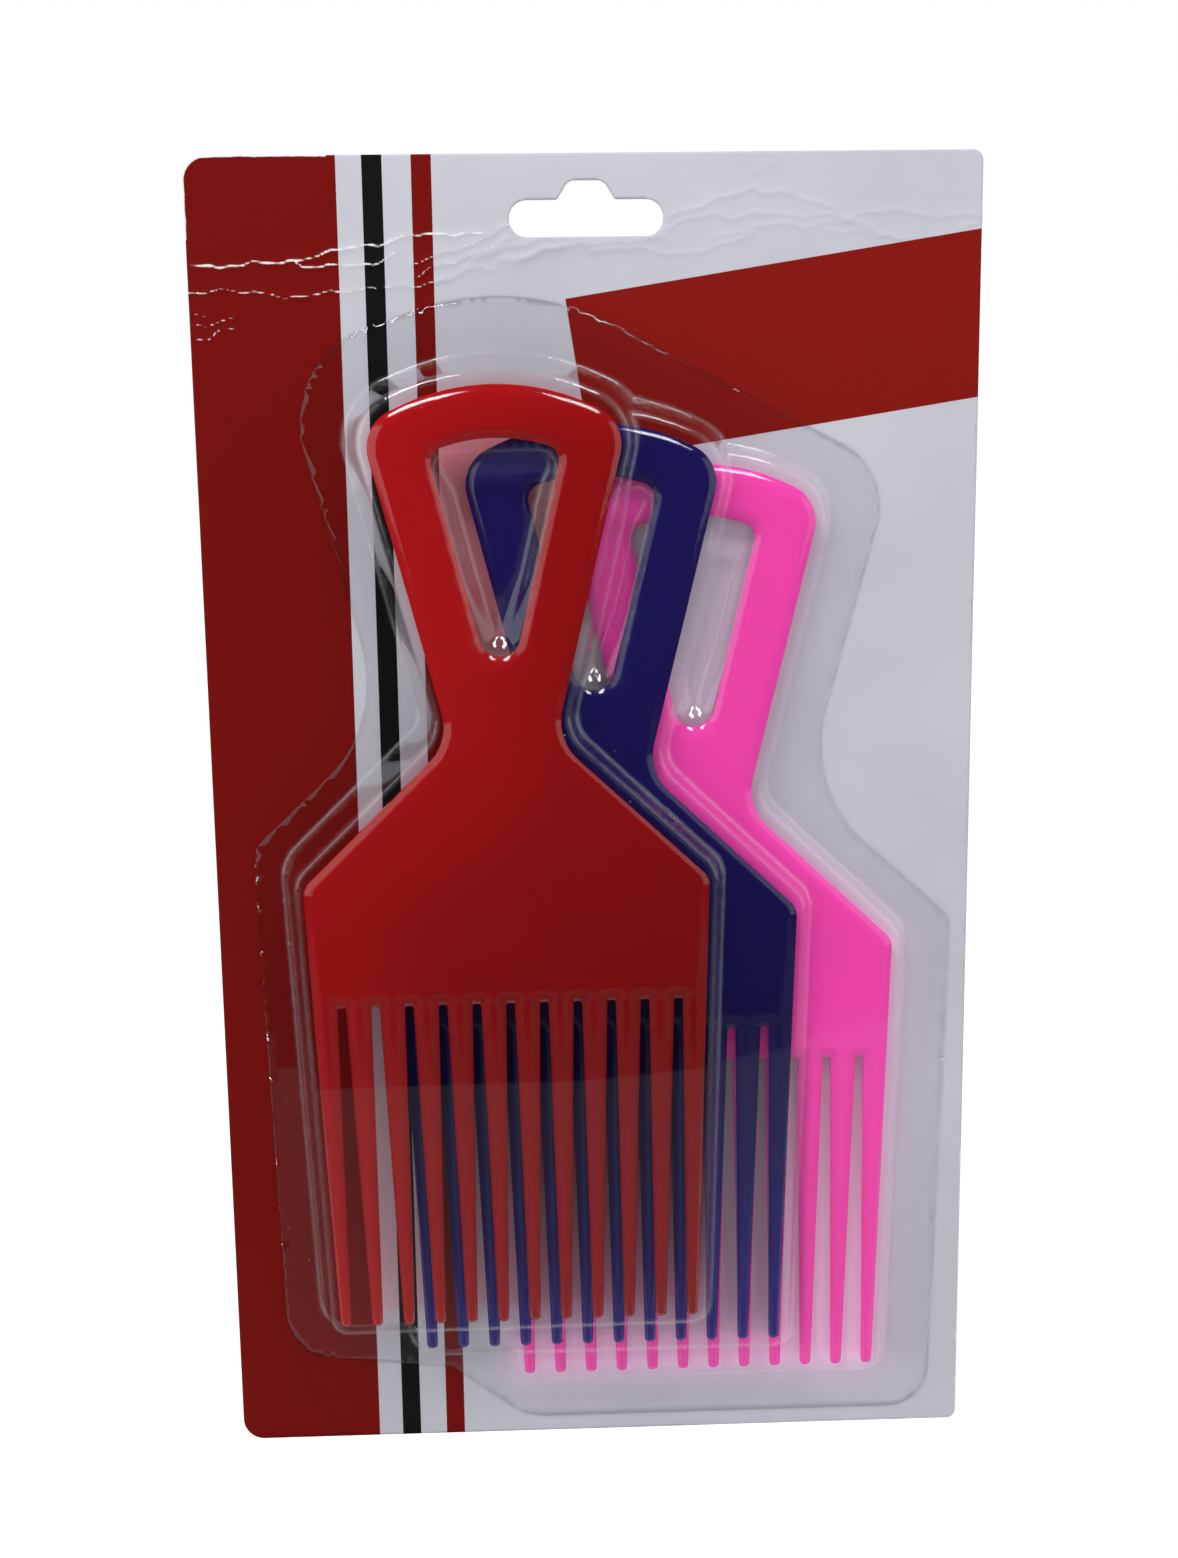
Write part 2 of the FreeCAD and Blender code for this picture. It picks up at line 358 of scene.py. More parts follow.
@dataclass(frozen=True)
class ClearFilm(Finish):
    """Clear thermoformed film: see-through, with a mirror-like share that grows towards grazing.

    Attributes:
        name: Name of the material.
        tint: Share of light that passes one face.
        head_on: Share reflected when looked at squarely.
        falloff: Power with which the reflected share grows towards grazing.
        blend: Layer weight that gives 1 - cos unchanged.
        roughness: Roughness of the reflections.
        specks: Specks of dust.
        speck_edge: Noise values where a speck starts and where it is full.
        dust: Share of matt white at a speck.
        painted_bend_highlight: Share of matt white where the film is bent sharply, a painted highlight.
        bend_power: How fast that share falls at softer bends.
        dust_and_highlight_white: Colour of the matt white of the dust and of the painted highlight.
    """

    name: str = "clear_film"
    tint: Colour = (0.998, 0.996, 1.0)
    head_on: float = 0.029
    falloff: float = 5.0
    blend: float = 0.5
    roughness: float = 0.025
    specks: Patches = Patches(0.8, 0.0)
    speck_edge: tuple[float, float] = (0.91, 0.93)
    dust: float = 0.25
    painted_bend_highlight: float = 0.055
    bend_power: float = 1.5
    dust_and_highlight_white: Colour = (0.85, 0.85, 0.87)

    def surface(self, sheet: NodeSheet) -> Wire:
        """Mixes see-through and gloss, then whitens specks with dust and sharp bends with a painted
        highlight.

        Args:
            sheet: Sheet that takes the nodes.

        Returns:
            The shader, where gloss has the share head_on + (1 - head_on) * (1 - cos) ** falloff.
        """
        facing = sheet.wire("ShaderNodeLayerWeight", {}, {"Blend": self.blend}, "Facing")
        share = self.head_on + (1 - self.head_on) * facing ** self.falloff
        through = sheet.wire("ShaderNodeBsdfTransparent", {}, {"Color": self.tint})
        gloss = sheet.wire("ShaderNodeBsdfGlossy", {}, {"Color": WHITE, "Roughness": self.roughness})
        clear = sheet.blend(share, through, gloss)
        specks = sheet.noise(self.specks).ramp(*self.speck_edge)
        # Dust on the specks, and a painted highlight along the sharp bends
        dust_and_painted_highlight = (self.dust * specks) | (self.painted_bend_highlight * sheet.attribute("bend") ** self.bend_power)
        matt = sheet.wire("ShaderNodeBsdfDiffuse", {}, {"Color": self.dust_and_highlight_white})
        return sheet.blend(dust_and_painted_highlight, clear, matt)


@dataclass(frozen=True)
class PrintedBoard(Finish):
    """Coated board with printed bands: ink that cracks at creases, with painted glints there, and wears off
    at the edges.

    Attributes:
        name: Name of the material.
        paper: Linear colour of the bare coated board.
        dull_share: Brightness of its duller clouds.
        band_red: Ink of the wide band and the thin stripe.
        panel_red: Ink of the slanted panel.
        black: Ink of the dark stripe.
        pink_cast: The bare board in light that the pink pick throws on it.
        red_cast: The bare board in light that comes through the red pick.
        bare_board_and_glint: Broken or rubbed board, and the painted glints along creases.
        band_right: Right side of the wide band.
        black_stripe: Left and right sides of the dark stripe.
        red_stripe: Left and right sides of the thin red stripe.
        panel_corner: Upper left corner of the slanted panel, across and up.
        panel_tilt: Rise of the panel to the right, in degrees.
        panel_height: Height of the panel, square to its long sides.
        clouds: Wide clouds in the board.
        cloud_edge: Noise values between which a cloud grows dull.
        mottle: Small unevenness of the coating.
        fibre: Fibres that press through the coating.
        crack_and_glint_mottle: How much the mottle frays a crack and its painted glint.
        crack_and_glint_edge: Values between which the ink of a crack breaks and its painted glint shows.
        rub_mottle: How much the mottle frays a rubbed edge.
        rub_edge: Values between which a rubbed edge is bare.
        roughness: Roughness of the coating, and what the mottle and the rubbing add.
        press: Shares of the fibres and of the mottle in the relief.
        press_depth: Depth of the relief.
        specular: Strength of the sheen.
    """

    name: str = "printed_board"
    paper: Colour = (0.515, 0.52, 0.572)
    dull_share: float = 0.93
    band_red: Colour = (0.157, 0.0037, 0.0026)
    panel_red: Colour = (0.212, 0.0075, 0.005)
    black: Colour = (0.0065, 0.0065, 0.006)
    pink_cast: Colour = (0.98, 0.71, 0.94)
    red_cast: Colour = (0.62, 0.19, 0.235)
    bare_board_and_glint: Colour = (0.72, 0.70, 0.72)
    band_right: float = -48.2
    black_stripe: tuple[float, float] = (-43.2, -39.3)
    red_stripe: tuple[float, float] = (-33.7, -29.8)
    panel_corner: tuple[float, float] = (-4.3, -22.3)
    panel_tilt: float = 8.7
    panel_height: float = 32.0
    clouds: Patches = Patches(40.0, 2.0)
    cloud_edge: tuple[float, float] = (0.3, 0.7)
    mottle: Patches = Patches(3.0, 4.0)
    fibre: Patches = Patches(0.35, 3.0)
    crack_and_glint_mottle: float = 0.5
    crack_and_glint_edge: tuple[float, float] = (0.56, 0.8)
    rub_mottle: float = 0.9
    rub_edge: tuple[float, float] = (0.55, 0.8)
    roughness: tuple[float, float, float] = (0.5, 0.12, 0.3)
    press: tuple[float, float] = (0.5, 0.5)
    press_depth: float = 0.02
    specular: float = 0.05

    def panel_mask(self, across: Wire, up: Wire) -> Wire:
        """Mask of the slanted panel, which runs off the right side of the card.

        Args:
            across: Place across.
            up: Place up.

        Returns:
            One inside the panel, else nought, after turning the place by the tilt about the corner.
        """
        tilt = math.radians(self.panel_tilt)
        from_left = across - self.panel_corner[0]
        from_top = up - self.panel_corner[1]
        along = from_left * math.cos(tilt) + from_top * math.sin(tilt)
        rise = from_top * math.cos(tilt) - from_left * math.sin(tilt)
        return (along > 0.0) * (rise < 0.0) * (rise > -self.panel_height)

    def inked(self, sheet: NodeSheet) -> Wire:
        """Colours the board by the picks' light, and prints the bands on it by place.

        Args:
            sheet: Sheet that takes the nodes.

        Returns:
            The colour before any wear.
        """
        across, _, up = sheet.axes()
        wide_band = across < self.band_right
        dark = (across > self.black_stripe[0]) * (across < self.black_stripe[1])
        thin = (across > self.red_stripe[0]) * (across < self.red_stripe[1])
        dull = tuple(self.dull_share * value for value in self.paper)
        ink = sheet.mix(sheet.noise(self.clouds).ramp(*self.cloud_edge), self.paper, dull)
        ink = sheet.mix(sheet.attribute("pink_light"), ink, self.pink_cast)
        ink = sheet.mix(sheet.attribute("red_light"), ink, self.red_cast)
        ink = sheet.mix(wide_band | thin, ink, self.band_red)
        ink = sheet.mix(dark, ink, self.black)
        return sheet.mix(self.panel_mask(across, up), ink, self.panel_red)

    def surface(self, sheet: NodeSheet) -> Wire:
        """Bares the printed board at cracked creases, where the white also stands for painted glints, and at
        rubbed edges.

        Args:
            sheet: Sheet that takes the nodes.

        Returns:
            The shader.
        """
        mottle, fibre = sheet.noise(self.mottle), sheet.noise(self.fibre)
        uneven = mottle - NOISE_MIDDLE
        # Cracked ink at the creases, whose bare white also stands for painted glints
        cracked_and_glinting = (sheet.attribute("crack_and_glint") + self.crack_and_glint_mottle * uneven).ramp(*self.crack_and_glint_edge)
        rubbed = (sheet.attribute("rub") + self.rub_mottle * uneven).ramp(*self.rub_edge)
        clean, mottle_share, rub_share = self.roughness
        inputs = {
            "Base Color": sheet.mix(cracked_and_glinting | rubbed, self.inked(sheet), self.bare_board_and_glint),
            "Roughness": clean + mottle_share * mottle + rub_share * rubbed,
            "Specular IOR Level": self.specular,
            "Normal": sheet.bump(self.press[0] * fibre + self.press[1] * mottle, self.press_depth),
        }
        return sheet.wire("ShaderNodeBsdfPrincipled", {}, inputs)


@dataclass(frozen=True)
class PlainBoard(Finish):
    """Uncoated back and cut edge of the board: grey-white with pressed fibres.

    Attributes:
        name: Name of the material.
        pale: Linear colour of the pale fibres.
        dark: Linear colour of the dark fibres.
        fibres: Drawn-out fibres.
        clouds: Soft clouds.
        shares: Shares of the fibres and of the clouds in the colour.
        edge: Values between which dark turns to pale.
        roughness: Roughness, and what the fibres add.
        press_depth: Depth of the fibres' relief.
    """

    name: str = "plain_board"
    pale: Colour = (0.80, 0.78, 0.74)
    dark: Colour = (0.69, 0.67, 0.63)
    fibres: Patches = Patches(1.2, 4.0, (1.0, 1.0, 0.25))
    clouds: Patches = Patches(18.0, 2.0)
    shares: tuple[float, float] = (0.7, 0.3)
    edge: tuple[float, float] = (0.35, 0.65)
    roughness: tuple[float, float] = (0.8, 0.12)
    press_depth: float = 0.04

    def surface(self, sheet: NodeSheet) -> Wire:
        """Drawn-out fibres over soft clouds, quite rough.

        Args:
            sheet: Sheet that takes the nodes.

        Returns:
            The shader.
        """
        fibres, clouds = sheet.noise(self.fibres), sheet.noise(self.clouds)
        tone = (self.shares[0] * fibres + self.shares[1] * clouds).ramp(*self.edge)
        inputs = {
            "Base Color": sheet.mix(tone, self.dark, self.pale),
            "Roughness": self.roughness[0] + self.roughness[1] * fibres,
            "Normal": sheet.bump(fibres, self.press_depth),
        }
        return sheet.wire("ShaderNodeBsdfPrincipled", {}, inputs)


@dataclass(frozen=True)
class Outline:
    """Closed loop of straight sides with rounded corners, counter-clockwise in across and up.

    Attributes:
        corners: Across, up and radius of each corner.
    """

    corners: tuple[Corner, ...]

    def sides(self) -> tuple[Array, Array, Array]:
        """Directions of the sides.

        Returns:
            Corner points, and the unit directions of the sides before and after each.
        """
        points = np.array(self.corners)[:, :2]
        run = np.roll(points, -1, axis=0) - points
        after = run / np.linalg.norm(run, axis=1, keepdims=True)
        return points, np.roll(after, 1, axis=0), after

    def placed(self, place: Place) -> "Outline":
        """Leans the loop to the left about its origin, then moves it.

        Args:
            place: Across, up, and lean in degrees.

        Returns:
            The loop with its corners at (x cos - z sin + across, x sin + z cos + up).
        """
        across, up, lean = place
        cosine, sine = math.cos(math.radians(lean)), math.sin(math.radians(lean))
        return Outline(tuple((x * cosine - z * sine + across, x * sine + z * cosine + up, radius)
                             for x, z, radius in self.corners))

    def offset(self, distances: Union[float, Sequence[float]]) -> "Outline":
        """Moves every side outwards, which widens outer corners and tightens inner ones.

        Args:
            distances: One distance for all sides, or one for each.

        Returns:
            The wider loop: a corner moves to where its two moved sides meet.
        """
        points, before, after = self.sides()
        second = np.broadcast_to(np.asarray(distances, float), len(points))
        first = np.roll(second, 1)
        turn = before[:, 0] * after[:, 1] - before[:, 1] * after[:, 0]
        moved = points + (before * second[:, None] - after * first[:, None]) / turn[:, None]
        radii = np.array(self.corners)[:, 2] + np.sign(turn) * (first + second) / 2
        table = np.column_stack((moved, np.maximum(radii, LEAST_RADIUS)))
        return Outline(tuple(tuple(row) for row in table.tolist()))

    def sampled(self, step: float, side_step: float = math.inf) -> Array:
        """Points along the loop.

        Args:
            step: Distance between points on the arcs.
            side_step: Distance between points on the straight sides.

        Returns:
            Points in order: each corner's arc by centre + radius * (cos, sin), then its side.
        """
        points, before, after = self.sides()
        radii = np.array(self.corners)[:, 2]
        turn = before[:, 0] * after[:, 1] - before[:, 1] * after[:, 0]
        sweep = np.arctan2(turn, (before * after).sum(axis=1))
        run = (radii * np.tan(np.abs(sweep) / 2))[:, None]
        starts = points - before * run
        ends = points + after * run
        inward = np.column_stack((-before[:, 1], before[:, 0])) * (np.sign(turn) * radii)[:, None]
        centres = starts + inward
        rows = []
        for index in range(len(points)):
            count = max(2, math.ceil(abs(sweep[index]) * radii[index] / step) + 1)
            first = math.atan2(-inward[index, 1], -inward[index, 0])
            angles = first + sweep[index] * np.linspace(0, 1, count)
            rows.append(centres[index] + radii[index] * np.column_stack((np.cos(angles), np.sin(angles))))
            following = starts[(index + 1) % len(points)]
            reach = float(np.linalg.norm(following - ends[index]))
            if reach > side_step:
                shares = np.linspace(0, 1, math.ceil(reach / side_step) + 1)[1:-1, None]
                rows.append(ends[index] * (1 - shares) + following * shares)
        return np.concatenate(rows)


def distance_to_path(points: Array, starts: Array, ends: Array) -> Array:
    """Distance from each point to the nearest of many straight pieces.

    Args:
        points: Points in the card's plane.
        starts: One end of each piece.
        ends: The other end of each piece.

    Returns:
        The least of |p - a - t (b - a)|, with t the clamped foot of the perpendicular.
    """
    nearest = np.full(len(points), np.inf)
    for start, run in zip(starts, ends - starts):
        offset = points - start
        share = np.clip(offset @ run / max(run @ run, LEAST_SQUARE), 0, 1)
        nearest = np.minimum(nearest, ((offset - share[:, None] * run) ** 2).sum(axis=1))
    return np.sqrt(nearest)


def signed_distance(points: Array, loop: Array) -> Array:
    """Distance from each point to a closed loop.

    Args:
        points: Points in the card's plane.
        loop: Points of the loop in order.

    Returns:
        The distance, negative inside, which is where a ray to the right crosses an odd number of sides.
    """
    ends = np.roll(loop, -1, axis=0)
    inside = np.zeros(len(points), bool)
    for (x, z), (next_x, next_z) in zip(loop, ends):
        if z != next_z:
            level = (points[:, 1] > z) != (points[:, 1] > next_z)
            inside ^= level & (points[:, 0] < x + (points[:, 1] - z) * (next_x - x) / (next_z - z))
    distance = distance_to_path(points, loop, ends)
    return np.where(inside, -distance, distance)


def smooth_max(first: Array, second: Array, blend: float) -> Array:
    """The greater of two heights, with a fillet where they differ by less than the blend.

    Args:
        first: One height at each point.
        second: The other height at each point.
        blend: Difference at which the fillet starts.

    Returns:
        max(a, b) + s^2 * blend / 4, with s = 1 - |a - b| / blend and not below nought.
    """
    share = np.clip(1 - np.abs(first - second) / blend, 0, 1)
    return np.maximum(first, second) + share * share * blend / 4


def lattice(outline: Array, step: float) -> Array:
    """Points of a grid of equal triangles over the box of a loop.

    Args:
        outline: Points of the loop.
        step: Distance between points.

    Returns:
        Rows of points, every second one moved by half a step.
    """
    low, high = outline.min(axis=0), outline.max(axis=0)
    columns = np.arange(low[0], high[0], step)
    rows = np.arange(low[1], high[1], step * TRIANGLE_HEIGHT)
    across, up = np.meshgrid(columns, rows)
    across = across + step / 2 * (np.arange(len(rows)) % 2)[:, None]
    return np.column_stack((across.ravel(), up.ravel()))


def linked(name: str, data: bpy.types.ID) -> bpy.types.Object:
    """Puts a mesh, lamp or camera into the scene.

    Args:
        name: Name of the object.
        data: What it shows.

    Returns:
        The object.
    """
    made = bpy.data.objects.new(name, data)
    bpy.context.scene.collection.objects.link(made)
    return made


def carry(shell: bpy.types.Object, name: str, values: Array) -> None:
    """Gives the points of a shell, front and then back, a number that its finish reads."""
    shell.data.attributes.new(name, "FLOAT", "POINT").data.foreach_set("value", np.tile(values, 2))


@dataclass
class Sheet:
    """A flat region cut into triangles.

    Attributes:
        points: Points in the card's plane, the loops first.
        triangles: Corners of the triangles, counter-clockwise seen from the front.
    """

    points: Array
    triangles: Array

    @classmethod
    def between(cls, loops: Sequence[Array], inner: Array, spacing: float) -> "Sheet":
        """Joins loops and inner points into triangles by constrained Delaunay.

        Args:
            loops: Outer loop, then any holes.
            inner: Points wanted inside; those near a loop or each other are dropped.
            spacing: Least distance between inner points, about.

        Returns:
            The region inside the first loop and outside the others.
        """
        clear = signed_distance(inner, loops[0]) < -spacing
        for hole in loops[1:]:
            clear &= signed_distance(inner, hole) > spacing
        inner = inner[clear]
        kept = np.unique(np.round(inner / spacing), axis=0, return_index=True)[1]
        inner = inner[np.sort(kept)]
        edges, start = [], 0
        for loop in loops:
            numbers = np.arange(len(loop))
            edges.append(np.column_stack((numbers, np.roll(numbers, -1))) + start)
            start += len(loop)
        points = np.concatenate([*loops, inner])
        vectors = [Vector(point) for point in points.tolist()]
        found = delaunay_2d_cdt(vectors, np.concatenate(edges).tolist(), [], WHOLE_HULL, MERGE_DISTANCE)
        points = np.array([point[:] for point in found[0]])
        triangles = np.array([face[:] for face in found[2]])
        centres = points[triangles].mean(axis=1)
        inside = signed_distance(centres, loops[0]) < 0
        for hole in loops[1:]:
            inside &= signed_distance(centres, hole) > 0
        triangles = triangles[inside]
        one, two, three = (points[triangles[:, index]] for index in range(3))
        area = (two - one)[:, 0] * (three - one)[:, 1] - (two - one)[:, 1] * (three - one)[:, 0]
        triangles[area < 0] = triangles[area < 0][:, ::-1]
        used, triangles = np.unique(triangles[np.abs(area) > LEAST_AREA], return_inverse=True)
        return cls(points[used], triangles.reshape(-1, 3))

    def rim(self) -> Array:
        """Edges that belong to one triangle only.

        Returns:
            The two points of each, in the direction of its triangle.
        """
        edges = np.concatenate([self.triangles[:, pair] for pair in ([0, 1], [1, 2], [2, 0])])
        _, first, count = np.unique(np.sort(edges, axis=1), axis=0, return_index=True, return_counts=True)
        return edges[first[count == 1]]

    def normals(self, heights: Array) -> Array:
        """Unit normals of the points once raised towards the viewer.

        Args:
            heights: Height of each point.

        Returns:
            The sum of the normals of the triangles around each point, weighted by area, at length one.
        """
        raised = np.column_stack((self.points[:, 0], -heights, self.points[:, 1]))
        one, two, three = (raised[self.triangles[:, index]] for index in range(3))
        faces = np.cross(two - one, three - one)
        total = np.zeros_like(raised)
        for index in range(3):
            np.add.at(total, self.triangles[:, index], faces)
        return total / np.linalg.norm(total, axis=1, keepdims=True)

    def bend(self, heights: Array) -> Array:
        """Curvature at each point once raised.

        Args:
            heights: Height of each point.

        Returns:
            The mean of |difference of normals| / length over the edges of each point.
        """
        raised = np.column_stack((self.points[:, 0], -heights, self.points[:, 1]))
        normals = self.normals(heights)
        total, count = np.zeros(len(raised)), np.zeros(len(raised))
        for one, two in ((0, 1), (1, 2), (2, 0)):
            start, end = self.triangles[:, one], self.triangles[:, two]
            turn = np.linalg.norm(normals[end] - normals[start], axis=1)
            turn = turn / np.linalg.norm(raised[end] - raised[start], axis=1)
            for place in (start, end):
                np.add.at(total, place, turn)
                np.add.at(count, place, 1.0)
        return total / count

    def shell(self, name: str, front: Array, back: Array) -> bpy.types.Object:
        """Closed mesh between a front and a back position of every point.

        Args:
            name: Name of the object.
            front: Front positions in millimetres.
            back: Back positions in millimetres.

        Returns:
            The object: front faces first, then back faces, then the rim.
        """
        count = len(self.points)
        rim = self.rim()
        walls = np.column_stack((rim[:, 1], rim[:, 0], rim[:, 0] + count, rim[:, 1] + count))
        faces = self.triangles.tolist() + (self.triangles[:, ::-1] + count).tolist() + walls.tolist()
        mesh = bpy.data.meshes.new(name)
        mesh.from_pydata((np.concatenate((front, back)) * METRE).tolist(), [], faces)
        smooth = np.ones(len(faces), bool)
        smooth[2 * len(self.triangles):] = False
        mesh.polygons.foreach_set("use_smooth", smooth)
        return linked(name, mesh)


class Layer(Enum):
    """The three picks, from the card outwards."""

    PINK = "pink_pick"
    BLUE = "blue_pick"
    RED = "red_pick"


# Middle of each pick's tips, across and up, and its lean to the left in degrees
PICK_PLACES: dict[Layer, Place] = {
    Layer.PINK: (20.95, -247.2, 0.2),
    Layer.BLUE: (0.4, -238.9, 0.1),
    Layer.RED: (-17.3, -231.4, 0.43),
}


@dataclass(frozen=True)
class PickOutline:
    """Outline of one pick, measured up from the tips of its teeth.

    Attributes:
        length: Length from the tips to the crown.
        shoulder: Shoulder corner: across, up, radius.
        neck: Neck corner.
        handle: Handle corner.
        crown_radius: Radius of the handle's crown.
        hole_corner: Upper corner of the finger hole.
        hole_point: Sharp point of the finger hole, and its rounding.
        hole_top: Height of the finger hole's crown.
        hole_crown_radius: Radius of the finger hole's crown.
        teeth: Number of teeth.
        pitch: Distance between teeth at the tips and at the roots.
        width: Width of a tooth at its tip and at its root.
        tip_radius: Rounding of a tip's corners.
        gap_root: Height of the gaps' roots.
        gap_radius: Rounding of the gaps' roots.
    """

    length: float = 192.8
    shoulder: Corner = (40.9, 94.4, 3.8)
    neck: Corner = (10.5, 123.4, 10.5)
    handle: Corner = (25.9, 185.3, 7.8)
    crown_radius: float = 44.0
    hole_corner: Corner = (13.0, 180.2, 3.0)
    hole_point: Corner = (0.0, 127.4, 4.0)
    hole_top: float = 182.6
    hole_crown_radius: float = 32.0
    teeth: int = 12
    pitch: tuple[float, float] = (6.6, 6.85)
    width: tuple[float, float] = (2.2, 5.15)
    tip_radius: float = 0.95
    gap_root: float = 69.4
    gap_radius: float = 0.6

    @staticmethod
    def apex(top: float, radius: float, corner: Corner) -> Corner:
        """Corner that stands for a crown arc.

        Args:
            top: Height of the arc's top.
            radius: Radius of the arc.
            corner: Corner to the right below the arc.

        Returns:
            The point above the middle where the arc's tangents through that corner and its mirror image
            meet, with the arc's radius.
        """
        centre = top - radius
        rise = corner[1] - centre
        lean = math.atan2(corner[0], rise) - math.acos(radius / math.hypot(corner[0], rise))
        return 0.0, centre + radius / math.cos(lean), radius

    def around(self, foot: Sequence[Corner]) -> Outline:
        """Closes a foot with the body above it.

        Args:
            foot: Corners of the foot, from left to right.

        Returns:
            Loop of the foot, shoulders, neck, handle and crown.
        """
        right = [self.shoulder, self.neck, self.handle]
        left = [(-x, z, radius) for x, z, radius in reversed(right)]
        return Outline((*foot, *right, self.apex(self.length, self.crown_radius, self.handle), *left))

    def body(self, foot_radius: float) -> Outline:
        """The pick with the row of its tips as one straight foot."""
        half = (self.teeth - 1) / 2 * self.pitch[0] + self.width[0] / 2
        return self.around([(-half, 0.0, foot_radius), (half, 0.0, foot_radius)])

    def toothed(self) -> Outline:
        """The whole outer loop.

        Returns:
            The loop, tooth by tooth and then round the body.
        """
        foot: list[Corner] = []
        for place in np.arange(self.teeth) - (self.teeth - 1) / 2:
            tip, root = place * self.pitch[0], place * self.pitch[1]
            foot += [
                (root - self.width[1] / 2, self.gap_root, self.gap_radius),
                (tip - self.width[0] / 2, 0.0, self.tip_radius),
                (tip + self.width[0] / 2, 0.0, self.tip_radius),
                (root + self.width[1] / 2, self.gap_root, self.gap_radius),
            ]
        return self.around(foot[1:-1])

    def hole(self) -> Outline:
        """Finger hole.

        Returns:
            Loop of a wedge with a rounded point and a crowned top.
        """
        x, z, radius = self.hole_corner
        crown = self.apex(self.hole_top, self.hole_crown_radius, self.hole_corner)
        return Outline((self.hole_point, (x, z, radius), crown, (-x, z, radius)))

    def well(self, corner_radius: float, point_radius: float) -> Outline:
        """Plain blunt wedge that fills the finger hole.

        Args:
            corner_radius: Rounding of the upper corners.
            point_radius: Rounding of the lower point.

        Returns:
            Loop of the wedge.
        """
        x, z, _ = self.hole_corner
        point = (0.0, self.hole_point[1], point_radius)
        return Outline((point, (x, z, corner_radius), (-x, z, corner_radius)))

    def tooth_inset(self, points: Array) -> Array:
        """Distance from the sides and tips of the teeth, or from the roots of the gaps above them.

        Args:
            points: Points in the pick's own plane.

        Returns:
            In a tooth the lesser of side and tip distance, r - |(r - side, r - tip)| in a tip's rounded
            corner; above the roots the distance to the nearest root's flat end.
        """
        across, up = points.T
        share = np.clip(up / self.gap_root, 0, 1)
        pitch = self.pitch[0] + (self.pitch[1] - self.pitch[0]) * share
        width = self.width[0] + (self.width[1] - self.width[0]) * share
        last = (self.teeth - 1) / 2
        place = np.clip(np.round(across / pitch + last), 0, 2 * last) - last
        side = width / 2 - np.abs(across - place * pitch)
        corner = self.tip_radius - np.hypot(self.tip_radius - side, self.tip_radius - up)
        in_corner = (side < self.tip_radius) & (up < self.tip_radius)
        tooth = np.where(in_corner, corner, np.minimum(side, up))
        last_gap = (self.teeth - 2) / 2
        gap = np.clip(np.round(across / self.pitch[1]), -last_gap, last_gap)
        beside = np.abs(across - gap * self.pitch[1]) - (self.pitch[1] - self.width[1]) / 2
        above = np.hypot(np.maximum(beside, 0), up - self.gap_root)
        return np.where(up > self.gap_root, above, tooth)


@dataclass
class Well:
    """Dip of the film in a finger hole.

    Attributes:
        outline: Loop of its sharp edge.
        depth: Depth of its floor below the pocket's front face.
        side_run: Run of a side wall for each millimetre of depth.
        foot_run: What that run gains towards the lower point.
        foot_reach: Height above the loop's sharp lower point where the gain starts.
        foot_fade: Height over which the gain becomes full.
        top_run: Run of the top wall for each millimetre of depth.
        wall_blend: Depth over which the top wall blends into the side walls.
        rim_blend: Depth over which the walls blend into the front face.
        floor_blend: Depth over which the walls blend into the floor.
        rings: First, last and step of the distances from the edge where the mesh has rings of points.
        ring_steps: Distance between points on a ring's arcs and sides.
    """

    outline: Outline
    depth: float = 3.7
    side_run: float = 0.45
    foot_run: float = 0.5
    foot_reach: float = 26.0
    foot_fade: float = 10.0
    top_run: float = 1.25
    wall_blend: float = 1.0
    rim_blend: float = 1.8
    floor_blend: float = 3.6
    rings: tuple[float, float, float] = (0.8, -4.4, -0.2)
    ring_steps: tuple[float, float] = (0.4, 0.6)

    def ring_points(self) -> Array:
        """Points on rings around and inside the edge, where the mesh has to bend."""
        return np.concatenate([self.outline.offset(value).sampled(*self.ring_steps)
                               for value in np.arange(*self.rings)])

    def dip(self, points: Array) -> Array:
        """Depth of the well: its walls slope in from its edge to a bowl-like floor.

        Args:
            points: Points in the card's plane.

        Returns:
            Depth below the front face: the least of the floor, the distance from the edge over the side
            walls' run, which grows at the foot, and the distance from the top over the top wall's run,
            all blended softly.
        """
        up = points[:, 1]
        heights = [corner[1] for corner in self.outline.corners]
        inside = -signed_distance(points, self.outline.sampled(LOOP_STEP))
        at_foot = np.clip((min(heights) + self.foot_reach - up) / self.foot_fade, 0, 1)
        side_wall = inside / (self.side_run + self.foot_run * at_foot)
        top_wall = (max(heights) - up) / self.top_run
        wall = -smooth_max(-side_wall, -top_wall, self.wall_blend)
        wall = smooth_max(wall, np.zeros(len(points)), self.rim_blend)
        return -smooth_max(-wall, np.full(len(points), -self.depth), self.floor_blend)


